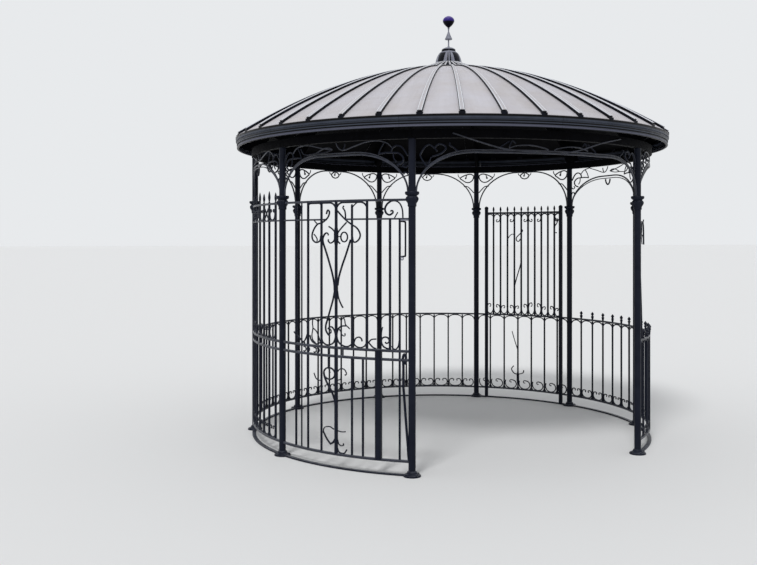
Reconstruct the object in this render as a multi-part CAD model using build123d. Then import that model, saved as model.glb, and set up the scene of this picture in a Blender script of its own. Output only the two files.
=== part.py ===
# Round metal gazebo with a shallow domed roof of seamed sheet, open at a wide doorway.
# Millimetres, +Z up, origin on the ground at the centre of the ring of posts.
# Angles go round the ring from the middle of the doorway, which faces -Y, and grow towards +X.
from build123d import *

import os
from math import cos, hypot, pi, radians, sin

# Plan of the ring: a wide doorway, a wide bay on either side of it, and even bays round the rest
post_circle_radius = 1650
doorway_angle = 68
front_bay_angle = 40
even_bay_count = 6

# Posts, with their cast feet and collars
post_diameter = 50
post_wall = 3
foot_radius = 61
foot_flange_height = 12
foot_boss_radius = 36
foot_boss_wall = 4
foot_boss_height = 34
collar_bottom = 1835
collar_top = 1940
collar_flange_radius = 50
collar_flange_height = 12
collar_bead_radius = 45
collar_neck_radius = 33
fit_gap = 0.3

# Bars of the screens and railings
bar_width = 14
wall_depth = 14
scroll_width = 9
rail_height = 20
thin_rail_height = 10
top_rail_height = 16

# Heights of the rails, to their middles
base_ring_height = 25
base_ring_width = 30
bottom_rail_level = 100
lower_mid_rail_level = 790
mid_rail_level = 850
thin_rail_level = 1755
top_rail_level = 1885

# Spacing of the bars round the ring
lyre_bar_angle = 4.6
spear_bar_angle = 4
railing_bar_angle = 5
rear_screen_bar_count = 10

# Places of the lyre screen's odd bars, from its middle
stile_angle = 17
stout_bar_angle = 11.7
stout_bar_width = 44
short_bar_angle = 7.6
stay_angle = 17.9
stay_bend_level = 567
stay_foot_level = 92

# Ornament of the screens and railings
spear_height = 95
spear_width = 22
knob_height = 62
knob_width = 20
foot_scroll_radius = 23
band_scroll_radius = 30
lyre_centre_width = 18
lyre_waist_level = 1225
lyre_shoulder_level = 1600
lyre_shoulder_reach = 118
lyre_top_level = 1838
lyre_loop_radius = 47
lyre_loop_turn = 35
lyre_curl_radius = 36
lyre_foot_level = 975
lyre_foot_reach = 62
lower_ring_level = 672
lower_ring_radius = 42
lower_waist_level = 440
lower_heart_level = 235
lower_heart_reach = 48

# Tall rear screen between its own uprights
upright_angle = 14
upright_width = 20
upright_ball_radius = 19
upright_top = 1925

# Arches between the collars and the ring beam
arch_bar_width = 12
arch_corner_reach = 390
front_crown_level = 2205
crown_lens_reach = 80
crown_ring_radius = 24
level_bar_inset = 1
level_bar_lap_angle = 0.8
spandrel_ring_radius = 52

# Ring beam, rafters and hub
beam_bottom = 2300
beam_height = 60
beam_width = 40
beam_wall = 3
beam_joint_gap = 2
rafter_thickness = 8
rafter_depth = 45
rafter_heel_width = 90
rafter_shoulder_radius = 1430
hub_radius = 110
hub_height = 52

# Roof, fascia and ribs
eave_radius = 1800
roof_apex = 3064
roof_drop = 615
roof_power = 1.85
sheet_thickness = 3
sheet_inner_radius = 80
sheet_joint_gap = 2
rib_count = 40
rib_width = 18
rib_height = 20
roof_sections = 10
fascia_height = 82
fascia_thickness = 10
fascia_step = 7
fascia_bead_radius = 6

# Finial
cap_base_radius = 94
cap_top_radius = 62
cap_height = 170
disc_radius = 50
disc_height = 28
spindle_radius = 9
spindle_cone_radius = 30
spindle_cone_height = 78
spindle_height = 165
ball_radius = 51

# Grab handle and scroll arm beside the doorway
handle_rod_diameter = 10
handle_length = 245
handle_middle = 1617
handle_side_reach = 30
handle_inward_reach = 42
handle_bend_radius = 14
arm_level = 1745
arm_reach = 150
arm_rod_diameter = 12

# Values worked out from the sizes above
post_radius = post_diameter / 2
half_doorway = doorway_angle / 2
even_bay_angle = (360 - doorway_angle - 2 * front_bay_angle) / even_bay_count
rear_crown_level = beam_bottom - fit_gap - arch_bar_width / 2
wall_sag = post_circle_radius * (1 - cos(radians(front_bay_angle / 2)))

# Post angles from the doorway round one side to the back, and the same on the other side
side_angles = [half_doorway, half_doorway + front_bay_angle]
side_angles += [side_angles[1] + even_bay_angle * (index + 1) for index in range(even_bay_count // 2)]
side_bays = list(zip(side_angles, side_angles[1:]))
left_posts = ("doorway_left_post", "front_left_post", "left_post", "rear_left_post")
right_posts = ("doorway_right_post", "front_right_post", "right_post", "rear_right_post")
left_bays = ("front_left", "left", "left_rear", "rear_left")
right_bays = ("front_right", "right", "right_rear", "rear_right")

posts = {name: -angle for name, angle in zip(left_posts, side_angles)}
posts["rear_post"] = side_angles[-1]
posts.update(zip(right_posts, side_angles))

# Each bay runs from the post at its lower angle to the post at its higher angle
bays = {name: (-far, -near) for name, (near, far) in zip(left_bays, side_bays)}
bays.update(zip(right_bays, side_bays))
rear_bays = ("left_rear", "rear_left", "rear_right", "right_rear")


# Places on the ring
def turned(angle):
    """A turn round the gazebo's axis, from the middle of the doorway."""
    return Rot(0, 0, angle)


def ring_point(angle, radius=post_circle_radius, level=0):
    return Vector(radius * sin(radians(angle)), -radius * cos(radians(angle)), level)


def wall_plane(angle, outward=0):
    """The upright plane that touches the wall at an angle: x runs along the wall, y goes up."""
    origin = ring_point(angle, post_circle_radius + outward)
    along = (cos(radians(angle)), sin(radians(angle)), 0)
    normal = (sin(radians(angle)), -cos(radians(angle)), 0)
    return Plane(origin=origin, x_dir=along, z_dir=normal)


def along_wall(angle):
    """How far along the flat drawing an angle from the bay's middle lies."""
    return post_circle_radius * sin(radians(angle))


def middle_of(bay):
    return (bay[0] + bay[1]) / 2


def half_of(bay):
    """Half of a bay's angle."""
    return (bay[1] - bay[0]) / 2


def ring_section(section, start, end):
    """A flat section, drawn as radius and height, swept round part of the ring."""
    swept = revolve(Plane.XZ * section, Axis.Z, revolution_arc=end - start)
    return turned(start - 90) * swept


def spun(outline):
    """A closed outline of radius and height points turned about the upright axis."""
    return revolve(Plane.XZ * make_face(Polyline(*outline, close=True)), Axis.Z)


# Strokes of the flat drawings
def rail(level, height, half_length):
    return Pos(0, level) * Rectangle(2 * half_length, height)


def upright(x, bottom, top, width=bar_width):
    return Pos(x, (bottom + top) / 2) * Rectangle(width, top - bottom)


def ring(x, level, radius, width=scroll_width):
    return Pos(x, level) * (Circle(radius + width / 2) - Circle(radius - width / 2))


def stroke(start, middle, end, width=scroll_width):
    return trace(ThreePointArc(start, middle, end), width)


def hoop(x, level, radius, width=scroll_width):
    """A half ring that springs from two neighbouring bars."""
    return stroke((x - radius, level), (x, level + radius), (x + radius, level), width)


def spear(x, level, width, height):
    """A forged point that widens a third of the way up."""
    waist = height / 3
    points = [(x - width / 4, level), (x - width / 2, level + waist), (x, level + height)]
    points += [(x + width / 2, level + waist), (x + width / 4, level)]
    return make_face(Polyline(*points, close=True))


def mirrored(shapes):
    return shapes + [mirror(shape, about=Plane.YZ) for shape in shapes]


def joined(shapes):
    drawing = shapes[0]
    drawing += shapes[1:]
    return drawing


def bar_places(pitch_angle, count):
    """Bars at an even pitch, centred on the bay's middle."""
    return [along_wall(pitch_angle * (index - (count - 1) / 2)) for index in range(count)]


def railing_bars(bay):
    """Even bars that divide the bay at about the railing's spacing."""
    gaps = round(2 * half_of(bay) / railing_bar_angle)
    return bar_places(2 * half_of(bay) / gaps, gaps - 1)


# Posts
def make_post(angle):
    section = Circle(post_radius) - Circle(post_radius - post_wall)
    tube = extrude(section, amount=beam_bottom - foot_flange_height)
    return Pos(*ring_point(angle, level=foot_flange_height)) * tube


def foot_outline():
    socket = post_radius + fit_gap
    return [
        (0, 0),
        (foot_radius, 0),
        (foot_radius, foot_flange_height),
        (foot_boss_radius, foot_flange_height),
        (socket + foot_boss_wall, foot_boss_height),
        (socket, foot_boss_height),
        (socket, foot_flange_height),
        (0, foot_flange_height),
    ]


def collar_outline():
    bore = post_radius + fit_gap
    middle = (collar_bottom + collar_top) / 2
    bead = collar_flange_height / 2
    return [
        (bore, collar_bottom),
        (collar_neck_radius, collar_bottom),
        (collar_neck_radius, middle - bead * 2),
        (collar_bead_radius, middle - bead),
        (collar_bead_radius, middle + bead),
        (collar_neck_radius, middle + bead * 2),
        (collar_neck_radius, collar_top - collar_flange_height * 2),
        (collar_flange_radius, collar_top - collar_flange_height),
        (collar_flange_radius, collar_top),
        (bore, collar_top),
    ]


def at_each_post(piece):
    return Compound([Pos(*ring_point(angle)) * piece for angle in posts.values()])


def post_room(angle):
    """The space that a post and its collar take, with the fitting gap round them."""
    shaft = Cylinder(post_radius + fit_gap, beam_bottom, align=(Align.CENTER, Align.CENTER, Align.MIN))
    collar = Cylinder(collar_flange_radius + fit_gap, collar_top - collar_bottom + 2 * fit_gap)
    return Pos(*ring_point(angle)) * (shaft + Pos(0, 0, (collar_bottom + collar_top) / 2) * collar)


# Walls: each panel is drawn flat, then bent to the ring
def bent_to_ring(drawing, middle_angle):
    slab = extrude(wall_plane(middle_angle, wall_depth) * drawing, amount=-(wall_sag + 3 * wall_depth))
    outer = Cylinder(post_circle_radius + wall_depth / 2, 2 * beam_bottom)
    inner = Cylinder(post_circle_radius - wall_depth / 2, 2 * beam_bottom)
    return slab & (outer - inner)


def between_posts(panel, bay):
    """Cuts a bay's panel back to its two posts."""
    for angle in bay:
        panel -= post_room(angle)
    return panel


def foot_scrolls(places, level, radius):
    """A pair of small rings at the foot of each bar, standing on the rail below."""
    side = bar_width / 2 + radius
    return [ring(x + way * side, level + radius, radius) for x in places for way in (-1, 1)]


def low_rails(half_length):
    return [rail(level, rail_height, half_length) for level in (bottom_rail_level, mid_rail_level)]


def hooped_bars(places):
    """Bars that stand on the bottom rail and spread into hoops under the mid rail."""
    half_pitch = (places[1] - places[0]) / 2
    spring = mid_rail_level - rail_height / 2 - half_pitch
    shapes = [upright(x, bottom_rail_level, spring + half_pitch) for x in places]
    shapes += [hoop((left + right) / 2, spring, half_pitch) for left, right in zip(places, places[1:])]
    shapes += foot_scrolls(places, bottom_rail_level + rail_height / 2, foot_scroll_radius)
    return shapes


def low_railing(bay, with_knobs):
    """Waist-high railing, with or without a row of knobs on its top rail."""
    places = railing_bars(bay)
    shapes = low_rails(along_wall(half_of(bay)))
    shapes += hooped_bars(places)
    if with_knobs:
        rail_top = mid_rail_level + rail_height / 2
        shapes += [spear(x, rail_top - 1, knob_width, knob_height) for x in places]
    return joined(shapes)


def upper_rails(half_length):
    thin_rail = rail(thin_rail_level, thin_rail_height, half_length)
    top_rail = rail(top_rail_level, top_rail_height, half_length)
    return [thin_rail, top_rail]


def tall_rails(half_length):
    lower_mid_rail = rail(lower_mid_rail_level, rail_height, half_length)
    return low_rails(half_length) + [lower_mid_rail] + upper_rails(half_length)


def frieze_hoops(places):
    """Tall hoops from bar to bar between the thin rail and the top rail."""
    shapes = []
    for left, right in zip(places, places[1:]):
        radius = (right - left) / 2
        spring = top_rail_level - top_rail_height / 2 - radius
        shapes.append(hoop((left + right) / 2, spring, radius))
        shapes += [upright(x, thin_rail_level, spring, scroll_width) for x in (left, right)]
    return shapes


def scroll_band(places, level, radius):
    """A row of rings standing on a rail, one in each gap between bars."""
    return [ring((left + right) / 2, level + radius, radius) for left, right in zip(places, places[1:])]


def lyre():
    """Lyre scroll on the centre bar, from its waist up to the top rail and down to the bottom rail."""
    loop_x = lyre_shoulder_reach + lyre_loop_radius * cos(radians(lyre_loop_turn))
    loop_level = lyre_shoulder_level + lyre_loop_radius * sin(radians(lyre_loop_turn))
    foot_curl = lyre_curl_radius / 2
    ring_x = lower_ring_radius + bar_width / 2
    sides = [
        stroke((0, lyre_waist_level), (lyre_shoulder_reach * 0.42, 1400), (lyre_shoulder_reach, lyre_shoulder_level)),
        ring(loop_x, loop_level, lyre_loop_radius),
        ring(lyre_curl_radius + scroll_width, lyre_shoulder_level + lyre_curl_radius, lyre_curl_radius),
        stroke((lyre_shoulder_reach, lyre_shoulder_level), (lyre_shoulder_reach * 0.55, 1722), (0, lyre_top_level)),
        stroke((0, lyre_waist_level), (lyre_foot_reach * 0.42, 1100), (lyre_foot_reach, lyre_foot_level)),
        ring(lyre_foot_reach - foot_curl, lyre_foot_level, foot_curl),
        ring(ring_x, lower_ring_level, lower_ring_radius),
        stroke((ring_x + lower_ring_radius, lower_ring_level), (ring_x, 545), (0, lower_waist_level)),
        stroke((0, lower_waist_level), (lower_heart_reach * 0.6, 350), (lower_heart_reach, lower_heart_level)),
        ring(lower_heart_reach / 2 + bar_width / 4, lower_heart_level - 12, lower_heart_reach / 2),
    ]
    return mirrored(sides)


def stay():
    """Rod beside the stile that hangs from the lower mid rail and then leans out to the post's foot."""
    x = along_wall(stay_angle)
    foot_x = along_wall(front_bay_angle / 2) - post_radius
    lean = Line((x, stay_bend_level + scroll_width), (foot_x, stay_foot_level))
    return [upright(x, stay_bend_level, lower_mid_rail_level), trace(lean, bar_width)]


def lyre_screen(bay):
    """The tall screen beside the doorway, with a lyre scroll at its middle."""
    places = bar_places(lyre_bar_angle, 7)
    stile = along_wall(stile_angle)
    lower_places = [x for x in places if x < along_wall(short_bar_angle)] + [along_wall(short_bar_angle), stile]
    shapes = tall_rails(along_wall(half_of(bay)))
    shapes += [upright(x, mid_rail_level, thin_rail_level) for x in places + [stile]]
    shapes += [upright(x, bottom_rail_level, lower_mid_rail_level) for x in lower_places]
    shapes.append(upright(0, bottom_rail_level, top_rail_level, lyre_centre_width))
    shapes.append(upright(along_wall(stout_bar_angle), bottom_rail_level, lower_mid_rail_level, stout_bar_width))
    shapes += frieze_hoops(places)
    shapes += scroll_band(places + [stile], mid_rail_level + rail_height / 2, band_scroll_radius)
    shapes += lyre()
    shapes += stay()
    return joined(shapes)


def spear_screen(bay):
    """The tall screen with a row of spear points above its top rail."""
    places = bar_places(spear_bar_angle, 8)
    shapes = tall_rails(along_wall(half_of(bay)))
    rail_top = top_rail_level + top_rail_height / 2
    shapes += [upright(x, bottom_rail_level, rail_top) for x in places]
    shapes += [spear(x, rail_top - 1, spear_width, spear_height) for x in places]
    shapes += scroll_band(places, thin_rail_level + thin_rail_height / 2, band_scroll_radius)
    shapes += scroll_band(places, mid_rail_level + rail_height / 2, band_scroll_radius)
    shapes += scroll_band(places, bottom_rail_level + rail_height / 2, band_scroll_radius)
    return joined(shapes)


def upright_screen(bay):
    """The tall rear screen: it stands between two slender uprights, on a low railing."""
    reach = along_wall(upright_angle)
    places = bar_places(2 * upright_angle / (rear_screen_bar_count + 1), rear_screen_bar_count)
    edges = [-reach] + places + [reach]
    shapes = low_rails(along_wall(half_of(bay)))
    shapes += hooped_bars(railing_bars(bay))
    shapes += upper_rails(reach)
    shapes += [upright(x, mid_rail_level, top_rail_level) for x in places]
    shapes += [upright(x, base_ring_height, upright_top, upright_width) for x in (-reach, reach)]
    shapes += [Pos(x, upright_top + upright_ball_radius / 2) * Circle(upright_ball_radius) for x in (-reach, reach)]
    rail_top = top_rail_level + top_rail_height / 2
    shapes += [spear(x, rail_top - 1, knob_width, knob_height) for x in places]
    shapes += frieze_hoops(edges)
    shapes += scroll_band(edges, mid_rail_level + rail_height / 2, band_scroll_radius)
    return joined(shapes)


# Arches
def half_arch(half_angle, crown_level):
    """Right half of an arch, drawn from the bay's middle: half its level bar, its corner and two rings."""
    post_face = along_wall(half_angle) - post_radius - fit_gap
    half_bar = arch_bar_width / 2
    level_half = post_face - half_bar - arch_corner_reach
    rise = crown_level - collar_top
    band = Ellipse(arch_corner_reach + half_bar, rise + half_bar) - Ellipse(arch_corner_reach - half_bar, rise - half_bar)
    keep = Rectangle(arch_corner_reach * 2, rise * 2, align=(Align.MIN, Align.MIN))
    corner = Pos(level_half, collar_top) * (band & keep)
    level_bar = Pos(level_half / 2, crown_level) * Rectangle(level_half, arch_bar_width)
    return [corner, level_bar] + spandrel_rings(post_face, level_half, rise)


def spandrel_rings(post_face, level_half, rise):
    """A ring in the corner of post and beam, and a smaller one between it and the arch."""
    ring_outer = spandrel_ring_radius + scroll_width / 2
    ring_x = post_face - ring_outer
    ring_level = beam_bottom - fit_gap - ring_outer
    turns = [pi / 2 * index / 60 for index in range(61)]
    corner_line = [(level_half + arch_corner_reach * sin(turn), collar_top + rise * cos(turn)) for turn in turns]
    near_x, near_level = min(corner_line, key=lambda point: hypot(point[0] - ring_x, point[1] - ring_level))
    distance = hypot(near_x - ring_x, near_level - ring_level)
    small_radius = (distance - ring_outer + scroll_width / 2) / 2
    share = (ring_outer - scroll_width / 2 + small_radius) / distance
    small_x = ring_x + (near_x - ring_x) * share
    small_level = ring_level + (near_level - ring_level) * share
    return [ring(ring_x, ring_level, spandrel_ring_radius), ring(small_x, small_level, small_radius)]


def crown_lens():
    """Flat oval that fills the space between a front arch's crown and the ring beam."""
    bottom = front_crown_level + arch_bar_width / 2 - scroll_width / 2
    top = beam_bottom - fit_gap
    half_height = (top - bottom) / 2
    outline = Ellipse(crown_lens_reach, half_height)
    outline -= Ellipse(crown_lens_reach - scroll_width, half_height - scroll_width)
    return Pos(0, (top + bottom) / 2) * outline


def hanging_ring():
    """Small ring under the crown of a rear arch."""
    return ring(0, rear_crown_level - arch_bar_width / 2 - crown_ring_radius, crown_ring_radius)


def make_arch(name):
    bay = bays[name]
    at_rear = name in rear_bays
    crown_level = rear_crown_level if at_rear else front_crown_level
    ornament = hanging_ring() if at_rear else crown_lens()
    drawing = joined(mirrored(half_arch(half_of(bay), crown_level)) + [ornament])
    return bent_to_ring(drawing, middle_of(bay))


def make_doorway_arch():
    """Two half arches with a level bar between them, across the doorway."""
    half_angle = front_bay_angle / 2
    inner_angle = half_doorway - half_angle
    right_half = bent_to_ring(joined(half_arch(half_angle, front_crown_level) + [crown_lens()]), inner_angle)
    left_half = mirror(right_half, about=Plane.YZ)
    inset = 2 * level_bar_inset
    section = Pos(post_circle_radius, front_crown_level) * Rectangle(wall_depth - inset, arch_bar_width - inset)
    lap = inner_angle + level_bar_lap_angle
    level_bar = ring_section(section, -lap, lap)
    return right_half + left_half + level_bar + bent_to_ring(crown_lens(), 0)


# Ring beam and base ring
def beam_arc(start, end):
    section = Rectangle(beam_width, beam_height)
    section -= Rectangle(beam_width - 2 * beam_wall, beam_height - 2 * beam_wall)
    joint = beam_joint_gap / post_circle_radius * 90 / pi
    place = Pos(post_circle_radius, beam_bottom + beam_height / 2)
    return ring_section(place * section, start + joint, end - joint)


def make_ring_beam():
    arcs = [beam_arc(start, end) for start, end in bays.values()]
    arcs.append(beam_arc(-half_doorway, half_doorway))
    return Compound(arcs)


def make_base_ring():
    """Flat ring on the ground from foot to foot, left out of the doorway."""
    section = Pos(post_circle_radius, base_ring_height / 2) * Rectangle(base_ring_width, base_ring_height)
    foot_room = Cylinder(foot_radius + fit_gap, 4 * base_ring_height)
    arcs = []
    for start, end in bays.values():
        arc = ring_section(section, start, end)
        for angle in (start, end):
            arc -= Pos(*ring_point(angle)) * foot_room
        arcs.append(arc.solid())
    return Compound(arcs)


# Roof
def roof_level(radius):
    """Height of the top of the sheet above the ground."""
    return roof_apex - roof_drop * (radius / eave_radius) ** roof_power


def roof_line(start, end, lowered):
    """The roof's curve between two radii, lowered by a distance."""
    steps = 8
    radii = [start + (end - start) * index / steps for index in range(steps + 1)]
    return Spline(*[(radius, roof_level(radius) - lowered) for radius in radii])


def strip(start, end, top, bottom):
    """The area between two lowered copies of the roof's curve."""
    upper = roof_line(start, end, top)
    lower = roof_line(start, end, bottom)
    ends = Line(upper @ 0, lower @ 0) + Line(upper @ 1, lower @ 1)
    return make_face(upper + lower + ends)


def make_roof_sheets():
    """Sections of sheet that meet under the ribs."""
    step = 360 / roof_sections
    first = 360 / rib_count / 2
    joint = sheet_joint_gap / eave_radius * 90 / pi
    section = strip(sheet_inner_radius, eave_radius, 0, sheet_thickness)
    sheets = []
    for index in range(roof_sections):
        start = first + index * step
        sheets.append(ring_section(section, start + joint, start + step - joint))
    return Compound(sheets)


def make_ribs():
    step = 360 / rib_count
    profile = strip(cap_base_radius + rib_width, eave_radius, -rib_height, -fit_gap)
    rib = extrude(Plane.XZ * profile, amount=rib_width / 2, both=True)
    return Compound([turned(step * (index + 0.5) - 90) * rib for index in range(rib_count)])


def fascia_outline():
    """Three-step moulding with a round bead along its lower edge."""
    top = roof_level(eave_radius) - sheet_thickness
    step_height = fascia_height / 3
    back = eave_radius - 2 * fascia_step - fascia_thickness
    return [
        (back, top),
        (eave_radius, top),
        (eave_radius, top - step_height),
        (eave_radius - fascia_step, top - step_height),
        (eave_radius - fascia_step, top - 2 * step_height),
        (eave_radius - 2 * fascia_step, top - 2 * step_height),
        (eave_radius - 2 * fascia_step, top - 3 * step_height),
        (back, top - 3 * step_height),
    ]


def make_fascia():
    outline = make_face(Polyline(*fascia_outline(), close=True))
    bead_level = roof_level(eave_radius) - sheet_thickness - fascia_height + fascia_bead_radius
    outline += Pos(eave_radius - 2 * fascia_step, bead_level) * Circle(fascia_bead_radius)
    joint = sheet_joint_gap / eave_radius * 90 / pi
    step = 360 / roof_sections
    arcs = [ring_section(outline, step * index + joint, step * (index + 1) - joint) for index in range(roof_sections)]
    return Compound(arcs)


def make_rafters():
    """Flat rafters on edge over the posts and the doorway's middle, with heels that carry the fascia."""
    beam_top = beam_bottom + beam_height
    tip = eave_radius - 2 * fascia_step - fascia_thickness - fit_gap
    start = hub_radius + fit_gap
    top_lowering = sheet_thickness + fit_gap
    upper = roof_line(start, tip, top_lowering)
    lower = roof_line(start, rafter_shoulder_radius, top_lowering + rafter_depth)
    heel_in = post_circle_radius - rafter_heel_width / 2
    heel_out = post_circle_radius + rafter_heel_width / 2
    fascia_foot = roof_level(eave_radius) - sheet_thickness - fascia_height
    heel = Polyline(lower @ 1, (heel_in, beam_top), (heel_out, beam_top), (tip, fascia_foot + beam_height / 2), upper @ 1)
    outline = make_face(upper + lower + Line(upper @ 0, lower @ 0) + heel)
    rafter = extrude(Plane.XZ * outline, amount=rafter_thickness / 2, both=True)
    return Compound([turned(angle - 90) * rafter for angle in [0, *posts.values()]])


def make_hub():
    top = roof_level(hub_radius) - sheet_thickness - fit_gap
    return Pos(0, 0, top - hub_height / 2) * Cylinder(hub_radius, hub_height)


# Finial
cap_bottom = roof_level(sheet_inner_radius)
disc_bottom = cap_bottom + cap_height
spindle_bottom = disc_bottom + disc_height
ball_bottom = spindle_bottom + spindle_height


def make_cap():
    """Ogee cap over the meeting of the ribs."""
    side = Spline(
        (cap_base_radius, cap_bottom + 12),
        (cap_base_radius * 0.78, cap_bottom + cap_height * 0.35),
        (cap_top_radius * 0.84, cap_bottom + cap_height * 0.72),
        (cap_top_radius, disc_bottom - 10),
    )
    rest = Polyline(
        side @ 1,
        (cap_top_radius, disc_bottom),
        (0, disc_bottom),
        (0, cap_bottom),
        (cap_base_radius, cap_bottom),
        side @ 0,
    )
    return revolve(Plane.XZ * make_face(side + rest), Axis.Z)


def make_finial_disc():
    """Low domed disc with a flat seat for the spindle."""
    rim_top = disc_bottom + disc_height / 4
    dome = ThreePointArc(
        (disc_radius, rim_top),
        (disc_radius * 0.75, disc_bottom + disc_height * 0.7),
        (spindle_radius, spindle_bottom),
    )
    rest = Polyline(dome @ 1, (0, spindle_bottom), (0, disc_bottom), (disc_radius, disc_bottom), dome @ 0)
    return revolve(Plane.XZ * make_face(dome + rest), Axis.Z)


def make_spindle():
    cone_bottom = spindle_bottom + (spindle_height - spindle_cone_height) * 0.6
    cone_top = cone_bottom + spindle_cone_height
    return spun([
        (0, spindle_bottom),
        (spindle_radius, spindle_bottom),
        (spindle_radius, cone_bottom),
        (spindle_cone_radius, cone_bottom + spindle_radius),
        (spindle_radius, cone_top),
        (spindle_radius, ball_bottom),
        (0, ball_bottom),
    ])


def make_ball():
    """Ball with a short neck that sits on the spindle."""
    neck = Cylinder(spindle_radius * 1.5, ball_radius, align=(Align.CENTER, Align.CENTER, Align.MIN))
    return Pos(0, 0, ball_bottom) * (neck + Pos(0, 0, ball_radius) * Sphere(ball_radius))


# Fittings beside the doorway
def make_handle():
    """Bent rod on the inner face of the last bar of the lyre screen."""
    stile = along_wall(stile_angle)
    start = -post_circle_radius * (1 - cos(radians(stile_angle)))
    out = start - wall_depth / 2 - handle_inward_reach
    side = stile + handle_side_reach
    low = handle_middle - handle_length / 2
    high = handle_middle + handle_length / 2
    path = FilletPolyline(
        (stile, low, start),
        (side, low, out),
        (side, high, out),
        (stile, high, start),
        radius=handle_bend_radius,
    )
    rod = sweep(Plane(path @ 0, z_dir=path % 0) * Circle(handle_rod_diameter / 2), path)
    rod = wall_plane(middle_of(bays["front_left"])).location * rod
    room_inside = Cylinder(post_circle_radius - wall_depth / 2 - fit_gap, 2 * beam_bottom)
    return rod & room_inside


def make_scroll_arm():
    """Curled bracket on the doorway's right post, over the low railing, with a slender drop rod."""
    bay = bays["front_right"]
    start = -along_wall(half_of(bay))
    tip = start + arm_reach
    rod_x = start + arm_reach * 0.45
    drop_bottom = mid_rail_level + rail_height / 2 + fit_gap
    shapes = [
        Pos((start + rod_x) / 2, arm_level) * Rectangle(rod_x - start, arm_rod_diameter),
        stroke((rod_x, arm_level), (tip - 20, arm_level - 30), (tip, arm_level - 140), arm_rod_diameter),
        ring(rod_x - 30, arm_level - 40, 34),
        upright(rod_x, drop_bottom, arm_level, arm_rod_diameter),
    ]
    return between_posts(bent_to_ring(joined(shapes), middle_of(bay)), bay)


def make_panel(bay, drawing):
    return between_posts(bent_to_ring(drawing, middle_of(bay)), bay)


def make_panels():
    panels = {
        "front_left_screen": make_panel(bays["front_left"], lyre_screen(bays["front_left"])),
        "left_screen": make_panel(bays["left"], spear_screen(bays["left"])),
        "right_rear_screen": make_panel(bays["right_rear"], upright_screen(bays["right_rear"])),
    }
    for name in ("left_rear", "rear_left", "rear_right"):
        panels[name + "_railing"] = make_panel(bays[name], low_railing(bays[name], with_knobs=False))
    for name in ("right", "front_right"):
        panels[name + "_railing"] = make_panel(bays[name], low_railing(bays[name], with_knobs=True))
    return panels


def main():
    parts = {name: make_post(angle) for name, angle in posts.items()}
    parts["post_feet"] = at_each_post(spun(foot_outline()))
    parts["post_collars"] = at_each_post(spun(collar_outline()))
    parts["base_ring"] = make_base_ring()
    parts.update(make_panels())
    parts["doorway_arch"] = make_doorway_arch()
    for name in bays:
        parts[name + "_arch"] = make_arch(name)
    parts["ring_beam"] = make_ring_beam()
    parts["rafters"] = make_rafters()
    parts["rafter_hub"] = make_hub()
    parts["fascia"] = make_fascia()
    parts["roof_sheets"] = make_roof_sheets()
    parts["roof_ribs"] = make_ribs()
    parts["finial_cap"] = make_cap()
    parts["finial_disc"] = make_finial_disc()
    parts["finial_spindle"] = make_spindle()
    parts["finial_ball"] = make_ball()
    parts["grab_handle"] = make_handle()
    parts["scroll_arm"] = make_scroll_arm()

    os.makedirs("parts", exist_ok=True)
    for name, part in parts.items():
        solids = part.solids()
        print(f"{name}: {len(solids)} solids, {sum(solid.volume for solid in solids) / 1e6:.3f} dm3")
        export_step(part if len(solids) == 1 else Compound(list(solids)), f"parts/{name}.step")


main()
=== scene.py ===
from math import atan2, cos, degrees, hypot, pi, radians, sin

import bmesh
import bpy
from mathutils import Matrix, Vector


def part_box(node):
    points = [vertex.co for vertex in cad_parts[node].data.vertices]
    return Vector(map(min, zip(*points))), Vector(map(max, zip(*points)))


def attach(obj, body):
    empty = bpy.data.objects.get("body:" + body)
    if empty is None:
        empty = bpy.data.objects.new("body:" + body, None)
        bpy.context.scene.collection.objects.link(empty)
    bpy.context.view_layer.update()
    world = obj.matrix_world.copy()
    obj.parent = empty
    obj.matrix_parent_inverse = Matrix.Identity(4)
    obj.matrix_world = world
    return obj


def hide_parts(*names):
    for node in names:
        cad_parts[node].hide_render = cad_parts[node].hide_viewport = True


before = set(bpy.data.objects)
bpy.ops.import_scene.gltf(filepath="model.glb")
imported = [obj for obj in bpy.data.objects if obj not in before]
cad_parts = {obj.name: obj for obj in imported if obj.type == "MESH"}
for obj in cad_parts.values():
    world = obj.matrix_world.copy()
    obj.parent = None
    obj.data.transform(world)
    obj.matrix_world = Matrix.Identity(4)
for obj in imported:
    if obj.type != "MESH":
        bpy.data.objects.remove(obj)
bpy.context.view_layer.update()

# Sections of the bars, as shares of the common bar
bar = 0.014
bar_corner = 0.0025
full = 1.0
rail_girth = 0.0185 / bar
railing_girth = 0.0155 / bar
top_rail_girth = 0.016 / bar
thin_rail_girth = 0.012 / bar
scroll_girth = 0.0095 / bar
fine_girth = 0.0075 / bar
tail_share = 0.62

# Levels of the rails
bottom_rail = 0.100
lower_mid_rail = 0.790
mid_rail = 0.850
thin_rail = 1.755
top_rail = 1.885
half_rail = 0.010
under_top_rail = top_rail - 0.008
over_mid_rail = mid_rail + half_rail
under_mid_rail = mid_rail - half_rail

# Roof line
roof_apex = 3.064
roof_drop = 0.615
roof_power = 1.85
eave = 1.800
rib_count = 40


def middle_of_node(name):
    low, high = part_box(name)
    return (low + high) / 2


def ring_angle(name):
    """A post's angle round the ring from the middle of the doorway, in degrees."""
    middle = middle_of_node(name)
    return degrees(atan2(middle.x, -middle.y))


post_nodes = [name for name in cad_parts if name.endswith("_post")]
post_angles = {name.removesuffix("_post"): ring_angle(name) for name in post_nodes}
ring_radius = hypot(*middle_of_node(post_nodes[0]).xy)
post_low, post_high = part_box(post_nodes[0])
post_radius = (post_high.x - post_low.x) / 2
beam_low, beam_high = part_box("ring_beam")
beam_bottom = beam_low.z
beam_face = beam_high.x - ring_radius
collar_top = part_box("post_collars")[1].z

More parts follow.
